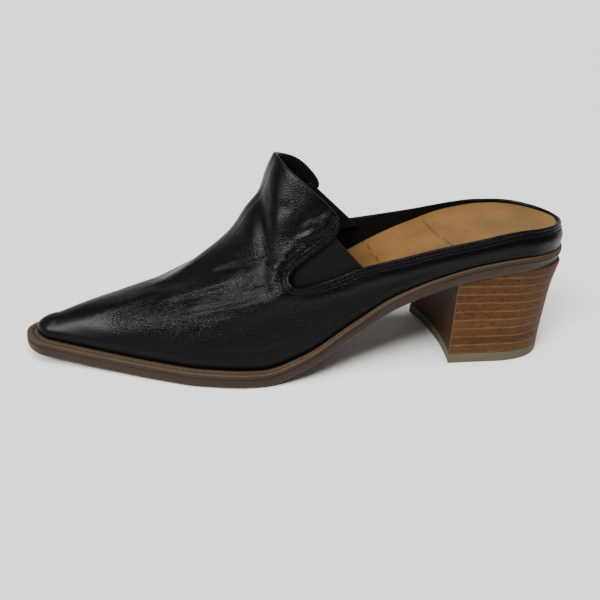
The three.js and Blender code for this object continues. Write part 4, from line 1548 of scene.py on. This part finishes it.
def make_top_piece(settings):
    """The rubber that meets the floor, its edges eased."""
    t = TOP_PIECE_THICKNESS
    levels = [
        (0.0, 6.0), (0.0, 0.9), (0.12, 0.4), (0.5, 0.1), (1.1, 0.0), (t - 0.7, 0.0), (t - 0.15, 0.12),
        (t, 0.4), (t, 6.0),
    ]
    finish = top_piece_finish(tuple(settings.heel.top_piece))
    heel_piece("heel_top_piece_rubber", levels, finish, "top_piece_beige", "heel_top_piece")


# Creases across the footbed, each with its depth and half width in millimetres and its points:
# distance along the shoe and place across it, -1 lateral to 1 medial
SOCK_CREASES = (
    (0.25, 0.32, ((101.2, 0.98), (100.6, 0.6), (101.3, 0.3), (100.7, 0.0), (101.0, -0.35))),
    (0.25, 0.32, ((68.9, 0.92), (69.9, 0.6), (69.6, 0.3), (70.2, -0.05), (69.2, -0.4), (68.9, -0.8))),
)


def sock_surface(across, edges, dish):
    """Rows of points across the footbed's top, dished in the middle and rolled at its edges."""
    share = (across + 1) / 2
    grid = edges[0][:, None, :] * (1 - share)[None, :, None] + edges[1][:, None, :] * share[None, :, None]
    roll = np.abs(across) ** 10
    hollow = dish * (1 - np.abs(across) ** 2.4)
    width = np.linalg.norm(edges[1] - edges[0], axis=1)
    narrow = between(width, 0, 40) ** 1.5
    grid[:, :, 2] -= hollow[None, :] * narrow[:, None] + 0.5 * roll[None, :]
    return grid


def press_creases(grid, s, across):
    """Presses the creases into the footbed's top and returns how strongly each point shows them, which sets
    the shade painted into them.
    """
    flat = grid.reshape(-1, 3)
    crease = np.zeros(len(flat))
    for depth_mm, half_width, pairs in SOCK_CREASES:
        line = []
        for at, place in pairs:
            row = int(np.argmin(np.abs(s - at)))
            column = int(round((place + 1) / 2 * (len(across) - 1)))
            line.append(grid[row, column])
        line = through(line)
        distance, _ = near(flat[:, :2], line[:, :2])
        mark = np.exp(-(distance / half_width) ** 2)
        flat[:, 2] -= depth_mm * mark
        crease = np.maximum(crease, mark)
    return crease


def make_insole(settings):
    """Footbed with a dished, softly rolled top that fills the foot of the upper."""
    depth = WALL + CLEARANCE
    base = Outline(lambda s: ledge(s) + depth)
    s = base.stations
    across = np.linspace(-1, 1, SOCK_COLUMNS)

    def sides_at(height):
        """Both sides of the footbed's side wall at a height."""
        return [
            last_form(side, s, turn_at_height(side, s, height, depth), depth) for side in (LATERAL, MEDIAL)]

    top = footbed_top(s)
    grid = sock_surface(across, sides_at(top), settings.insole.dish / MM)
    crease = press_creases(grid, s, across)
    flat = grid.reshape(-1, 3)
    # Where shade is painted along the footbed's rim, next to the upper
    edge = np.tile(np.clip((np.abs(across) - 0.965) / 0.035, 0, 1), len(s))
    columns = len(across)
    faces = grid_faces(len(s), columns)
    low = [sides_at(top + (upper_foot(s) - top) * drop) for drop in (0.25, 1.0)]
    hole = Outline(lambda at: ledge(at) + WALL + WELT_SEAT + CLEARANCE)
    plug = np.clip(s, hole.start, hole.end)
    for height in (upper_foot(plug), outsole_top(plug) + CLEARANCE):
        low.append([
            np.stack((plug, side * hole.half(side, plug), height), 1) for side in (LATERAL, MEDIAL)])
    points = [flat]
    total = len(flat)
    borders = [(np.arange(len(s)) * columns, np.arange(len(s)) * columns + columns - 1)]
    for pair in low:
        points += pair
        borders.append((total + np.arange(len(s)), total + len(s) + np.arange(len(s))))
        total += 2 * len(s)
    for (a, b), (c, d) in zip(borders[:-1], borders[1:]):
        for i in range(len(s) - 1):
            faces.append((int(a[i + 1]), int(a[i]), int(c[i]), int(c[i + 1])))
            faces.append((int(b[i]), int(b[i + 1]), int(d[i + 1]), int(d[i])))
    left, right = borders[-1]
    for i in range(len(s) - 1):
        faces.append((int(left[i + 1]), int(left[i]), int(right[i]), int(right[i + 1])))
    points = np.concatenate(points)
    spare = total - len(flat)
    marks = np.concatenate((crease, np.zeros(spare)))
    edge = np.concatenate((edge, np.ones(spare)))
    tagged, welded = weld(np.column_stack((points, marks, edge)), faces)
    body = points_mirrored(tagged[:, :3])
    tan = sock_finish(tuple(settings.insole.colour))
    piece = make_piece(
        "insole_sock", body * MM, facing_out(body, welded), (tan,),
        {"crease": tagged[:, 3], "edge": tagged[:, 4]}, sharp=math.radians(60))
    finish_piece(piece, "sock_tan", "insole")


# Directions towards the two lights, and their colour
KEY_TOWARDS = (-0.12, -0.22, 0.97)
WINDOW_TOWARDS = (-0.61, -0.46, 0.645)
LIGHT_COLOUR = (1.0, 0.985, 0.955)
# The surround's glow on the object: its colour, its least strength, and how far behind and how
# high it reaches as parts of a direction
GLOW_COLOUR = (0.92, 0.96, 1.0, 1.0)
GLOW_LEAST = 0.06
GLOW_BEHIND = (0.2, 0.7)
GLOW_ABOVE = (0.6, 0.3)
FLOOR_SIDES = 64
# The camera's place in metres, its turns in radians, and its lens and sensor in millimetres
CAMERA_PLACE = (-0.0709368, -0.2672246, 0.1684992)
CAMERA_PITCH, CAMERA_YAW, CAMERA_ROLL = 0.479491724, 0.249664402, 0.0990420543
CAMERA_LENS = CAMERA_SENSOR = 36.0


def make_stage(settings):
    """Pale floor, a light from above and one from the toe's side, a pale surround and the camera."""
    stage = settings.stage
    radius = stage.floor_radius
    count = FLOOR_SIDES
    points = [(0.0, 0.0, 0.0)]
    faces = [(0, 1 + i, 1 + (i + 1) % count) for i in range(count)]
    reaches = [radius * (k / 8) ** 3 for k in range(3, 9)]
    for r in reaches:
        points += [(r * math.cos(a), r * math.sin(a), 0.0) for a in np.arange(count) * 2 * math.pi / count]
    for k in range(len(reaches) - 1):
        low = 1 + k * count
        for i in range(count):
            j = (i + 1) % count
            faces.append((low + i, low + count + i, low + count + j, low + j))
    floor = make_piece("floor", np.array(points), faces, (floor_finish(tuple(stage.floor_colour)),))
    make_surround(stage)
    add_sun("key", KEY_TOWARDS, stage.key_power, stage.key_angle)
    add_sun("window", WINDOW_TOWARDS, stage.window_power, stage.window_angle)
    make_camera()


def add_sun(name, towards, power, angle):
    light = bpy.data.lights.new(name, "SUN")
    light.energy = power
    light.angle = angle
    light.color = LIGHT_COLOUR
    lamp = bpy.data.objects.new(name, light)
    lamp.rotation_euler = Vector(towards).to_track_quat("Z", "Y").to_euler()
    bpy.context.scene.collection.objects.link(lamp)


def make_surround(stage):
    """Pale surround for the camera, and for the object a soft glow from behind, low down."""
    world = bpy.data.worlds.new("soft studio")
    bpy.context.scene.world = world
    world.use_nodes = True
    tree = world.node_tree
    tree.nodes.clear()

    def node(kind, sockets, **settings):
        return tree_node(tree, kind, sockets, **settings)

    place = node("ShaderNodeTexCoord", {}).outputs["Generated"]
    parts = node("ShaderNodeSeparateXYZ", {0: place})

    def reach(axis, ends):
        sockets = {"Value": parts.outputs[axis], "From Min": ends[0], "From Max": ends[1]}
        return node("ShaderNodeMapRange", sockets).outputs[0]

    def maths(operation, first, second):
        return node("ShaderNodeMath", {0: first, 1: second}, operation=operation).outputs[0]

    glow = maths("MULTIPLY", reach("Y", GLOW_BEHIND), reach("Z", GLOW_ABOVE))
    strength = maths("ADD", maths("MULTIPLY", glow, stage.world_strength), GLOW_LEAST)
    dim = node("ShaderNodeBackground", {"Color": GLOW_COLOUR, "Strength": strength})
    pale = node(
        "ShaderNodeBackground", {"Color": (*stage.back_colour, 1.0), "Strength": stage.back_strength})
    seen = node("ShaderNodeLightPath", {}).outputs["Is Camera Ray"]
    both = node("ShaderNodeMixShader", {0: seen, 1: dim.outputs[0], 2: pale.outputs[0]})
    output = node("ShaderNodeOutputWorld", {})
    tree.links.new(both.outputs[0], output.inputs["Surface"])


def make_camera():
    """Camera at the photograph's viewing angle, with its slight roll."""
    pitch, yaw, roll = CAMERA_PITCH, CAMERA_YAW, CAMERA_ROLL
    forward = Vector((math.sin(yaw) * math.cos(pitch), math.cos(yaw) * math.cos(pitch), -math.sin(pitch)))
    level = Vector((math.cos(yaw), -math.sin(yaw), 0.0))
    upright = level.cross(forward)
    right = level * math.cos(roll) + upright * math.sin(roll)
    up = upright * math.cos(roll) - level * math.sin(roll)
    data = bpy.data.cameras.new("photo camera")
    data.lens = CAMERA_LENS
    data.sensor_width = CAMERA_SENSOR
    camera = bpy.data.objects.new("photo camera", data)
    turn = Matrix((right, up, -forward)).transposed().to_4x4()
    camera.matrix_world = Matrix.Translation(CAMERA_PLACE) @ turn
    bpy.context.scene.collection.objects.link(camera)
    bpy.context.scene.camera = camera


def colour_of(label, description, default):
    return FloatVectorProperty(
        name=label, description=description, subtype="COLOR", size=3, min=0.0, max=1.0, default=default)


def length_of(label, description, default):
    return FloatProperty(name=label, description=description, default=default, min=0.0, unit="LENGTH")


def strength_of(label, description, default):
    return FloatProperty(name=label, description=description, default=default, min=0.0)


def angle_of(label, description, default):
    return FloatProperty(name=label, description=description, default=default, unit="ROTATION")


class LeatherSettings(bpy.types.PropertyGroup):
    """Look of the leather upper."""

    colour: colour_of("Leather", "Colour of the outer leather", (0.0011, 0.0014, 0.0015))
    lining: colour_of("Lining", "Colour of the lining leather", (0.0022, 0.0021, 0.0020))
    grain: strength_of("Grain", "Strength of the crackled grain", 1.0)
    fold_strength: strength_of("Folds", "Strength of the folds", 1.0)
    shoulder: length_of("Shoulder", "Height of the soft line that bounds the top of the toe", 0.0005)


class StitchSettings(bpy.types.PropertyGroup):
    """Sizes and colours of the stitching."""

    first_row: length_of("First Row", "Distance of the first row from the leather's edge", 0.002)
    second_row: length_of("Second Row", "Distance of the second row from the leather's edge", 0.0037)
    pitch: length_of("Pitch", "Distance between stitches on the upper", 0.0024)
    length: length_of("Stitch", "Length of a stitch on the upper", 0.0018)
    thread: length_of("Thread", "Thickness of the thread on the upper", 0.00045)
    colour: colour_of("Thread", "Colour of the thread on the upper", (0.004, 0.0042, 0.0044))
    welt_pitch: length_of("Welt Pitch", "Distance between stitches on the welt", 0.0031)
    welt_thread: length_of("Welt Thread", "Thickness of the thread on the welt", 0.0006)
    welt_colour: colour_of("Welt Thread", "Colour of the thread on the welt", (0.03, 0.018, 0.009))


class GoreSettings(bpy.types.PropertyGroup):
    """Look of the elastic gores."""

    colour: colour_of("Elastic", "Colour of the elastic", (0.0026, 0.0026, 0.0026))
    rib_pitch: length_of("Rib Pitch", "Distance between the elastic's ribs", 0.0009)
    rib_radius: length_of("Rib Radius", "Radius of a rib", 0.00034)
    rib_sides: IntProperty(name="Rib Sides", description="Sides of a rib's section", default=6, min=3, max=16)


class InsoleSettings(bpy.types.PropertyGroup):
    """Look of the footbed."""

    colour: colour_of("Sock", "Colour of the sock leather", (0.135, 0.070, 0.021))
    dish: length_of("Dish", "Depth of the hollow in the footbed", 0.0011)


class SoleSettings(bpy.types.PropertyGroup):
    """Colours of the welt and the outsole."""

    welt: colour_of("Welt", "Colour of the welt", (0.053, 0.033, 0.018))
    edge: colour_of("Sole Edge", "Colour of the outsole's edge", (0.023, 0.0138, 0.0086))
    under: colour_of("Underside", "Colour of the outsole's underside", (0.085, 0.048, 0.026))


class HeelSettings(bpy.types.PropertyGroup):
    """Look of the stacked heel."""

    light: colour_of("Light Layers", "Colour of the lighter layers", (0.098, 0.043, 0.016))
    dark: colour_of("Dark Layers", "Colour of the darker layers", (0.026, 0.0105, 0.004))
    joint: colour_of("Joints", "Colour of the joints between layers", (0.128, 0.073, 0.034))
    # The breast's colour is partly its own dark brown and partly painted shade on its hollow face
    breast: colour_of("Breast", "Colour of the heel's front face", (0.022, 0.0095, 0.004))
    top_piece: colour_of("Top Piece", "Colour of the piece that meets the floor", (0.080, 0.064, 0.038))
    joint_depth: length_of("Joint Depth", "Depth of the groove at each joint", 0.00012)


class StageSettings(bpy.types.PropertyGroup):
    """Floor and lights."""

    floor_colour: colour_of("Floor", "Colour of the floor", (0.80, 0.79, 0.765))
    back_colour: colour_of("Surround", "Colour of the surround behind the floor", (1.0, 0.985, 0.95))
    back_strength: strength_of("Surround Strength", "Brightness of the surround behind the floor", 1.7)
    floor_radius: length_of("Floor Radius", "Radius of the floor", 8.0)
    key_power: strength_of("Key", "Strength of the light from above", 4.2)
    key_angle: angle_of("Key Size", "Width of that light as the object sees it", 0.75)
    window_power: strength_of("Window", "Strength of the light at the toe's side", 4.4)
    window_angle: angle_of("Window Size", "Width of that light as the object sees it", 0.38)
    world_strength: strength_of("Glow", "Strength of the surround's glow", 0.9)


class MuleSettings(bpy.types.PropertyGroup):
    """All settings of the mule."""

    leather: PointerProperty(type=LeatherSettings, name="Leather", description="Leather upper")
    stitches: PointerProperty(type=StitchSettings, name="Stitches", description="Stitching")
    gore: PointerProperty(type=GoreSettings, name="Gore", description="Elastic gores")
    insole: PointerProperty(type=InsoleSettings, name="Insole", description="Footbed")
    sole: PointerProperty(type=SoleSettings, name="Sole", description="Welt and outsole")
    heel: PointerProperty(type=HeelSettings, name="Heel", description="Stacked heel")
    stage: PointerProperty(type=StageSettings, name="Stage", description="Floor and lights")


class MULE_OT_upper(bpy.types.Operator):
    """Make the leather upper with its folds, edges and stitching"""

    bl_idname = "mule.upper"
    bl_label = "Upper"

    def execute(self, context):
        settings = context.scene.mule
        upper = make_upper(settings)
        make_upper_stitches(settings, upper)
        return {"FINISHED"}


class MULE_OT_gores(bpy.types.Operator):
    """Make the two elastic gores with their ribs"""

    bl_idname = "mule.gores"
    bl_label = "Gores"

    def execute(self, context):
        for side in (LATERAL, MEDIAL):
            make_gore(side, context.scene.mule)
        return {"FINISHED"}


class MULE_OT_insole(bpy.types.Operator):
    """Make the footbed with its tan sock"""

    bl_idname = "mule.insole"
    bl_label = "Insole"

    def execute(self, context):
        make_insole(context.scene.mule)
        return {"FINISHED"}


class MULE_OT_sole(bpy.types.Operator):
    """Make the welt with its stitches, and the outsole"""

    bl_idname = "mule.sole"
    bl_label = "Welt and Outsole"

    def execute(self, context):
        make_welt(context.scene.mule)
        make_outsole(context.scene.mule)
        return {"FINISHED"}


class MULE_OT_heel(bpy.types.Operator):
    """Make the stacked heel and its top piece"""

    bl_idname = "mule.heel"
    bl_label = "Heel"

    def execute(self, context):
        make_heel(context.scene.mule)
        make_top_piece(context.scene.mule)
        return {"FINISHED"}


class MULE_OT_stage(bpy.types.Operator):
    """Make the floor, the lights and the camera"""

    bl_idname = "mule.stage"
    bl_label = "Stage"

    def execute(self, context):
        make_stage(context.scene.mule)
        return {"FINISHED"}


class MULE_PT_panel(bpy.types.Panel):
    """Lists the operators and the settings of the mule"""

    bl_idname = "MULE_PT_panel"
    bl_label = "Mule"
    bl_space_type = "VIEW_3D"
    bl_region_type = "UI"
    bl_category = "Mule"

    def draw(self, context):
        settings = context.scene.mule
        for label in ("leather", "stitches", "gore", "insole", "sole", "heel", "stage"):
            box = self.layout.box()
            group = getattr(settings, label)
            box.label(text=label.capitalize())
            for key in group.bl_rna.properties.keys():
                if key not in ("rna_type", "name"):
                    box.prop(group, key)
        for operator in OPERATORS:
            self.layout.operator(operator.bl_idname)


OPERATORS = (MULE_OT_upper, MULE_OT_gores, MULE_OT_insole, MULE_OT_sole, MULE_OT_heel, MULE_OT_stage)
GROUPS = (
    LeatherSettings, StitchSettings, GoreSettings, InsoleSettings, SoleSettings, HeelSettings, StageSettings,
    MuleSettings,
)


def register():
    for cls in GROUPS + OPERATORS + (MULE_PT_panel,):
        bpy.utils.register_class(cls)
    bpy.types.Scene.mule = PointerProperty(type=MuleSettings, name="Mule", description="Settings of the mule")


def unregister():
    del bpy.types.Scene.mule
    for cls in reversed(GROUPS + OPERATORS + (MULE_PT_panel,)):
        bpy.utils.unregister_class(cls)


def main():
    register()
    bpy.ops.mule.upper()
    bpy.ops.mule.gores()
    bpy.ops.mule.insole()
    bpy.ops.mule.sole()
    bpy.ops.mule.heel()
    bpy.ops.mule.stage()


if __name__ == "__main__":
    main()
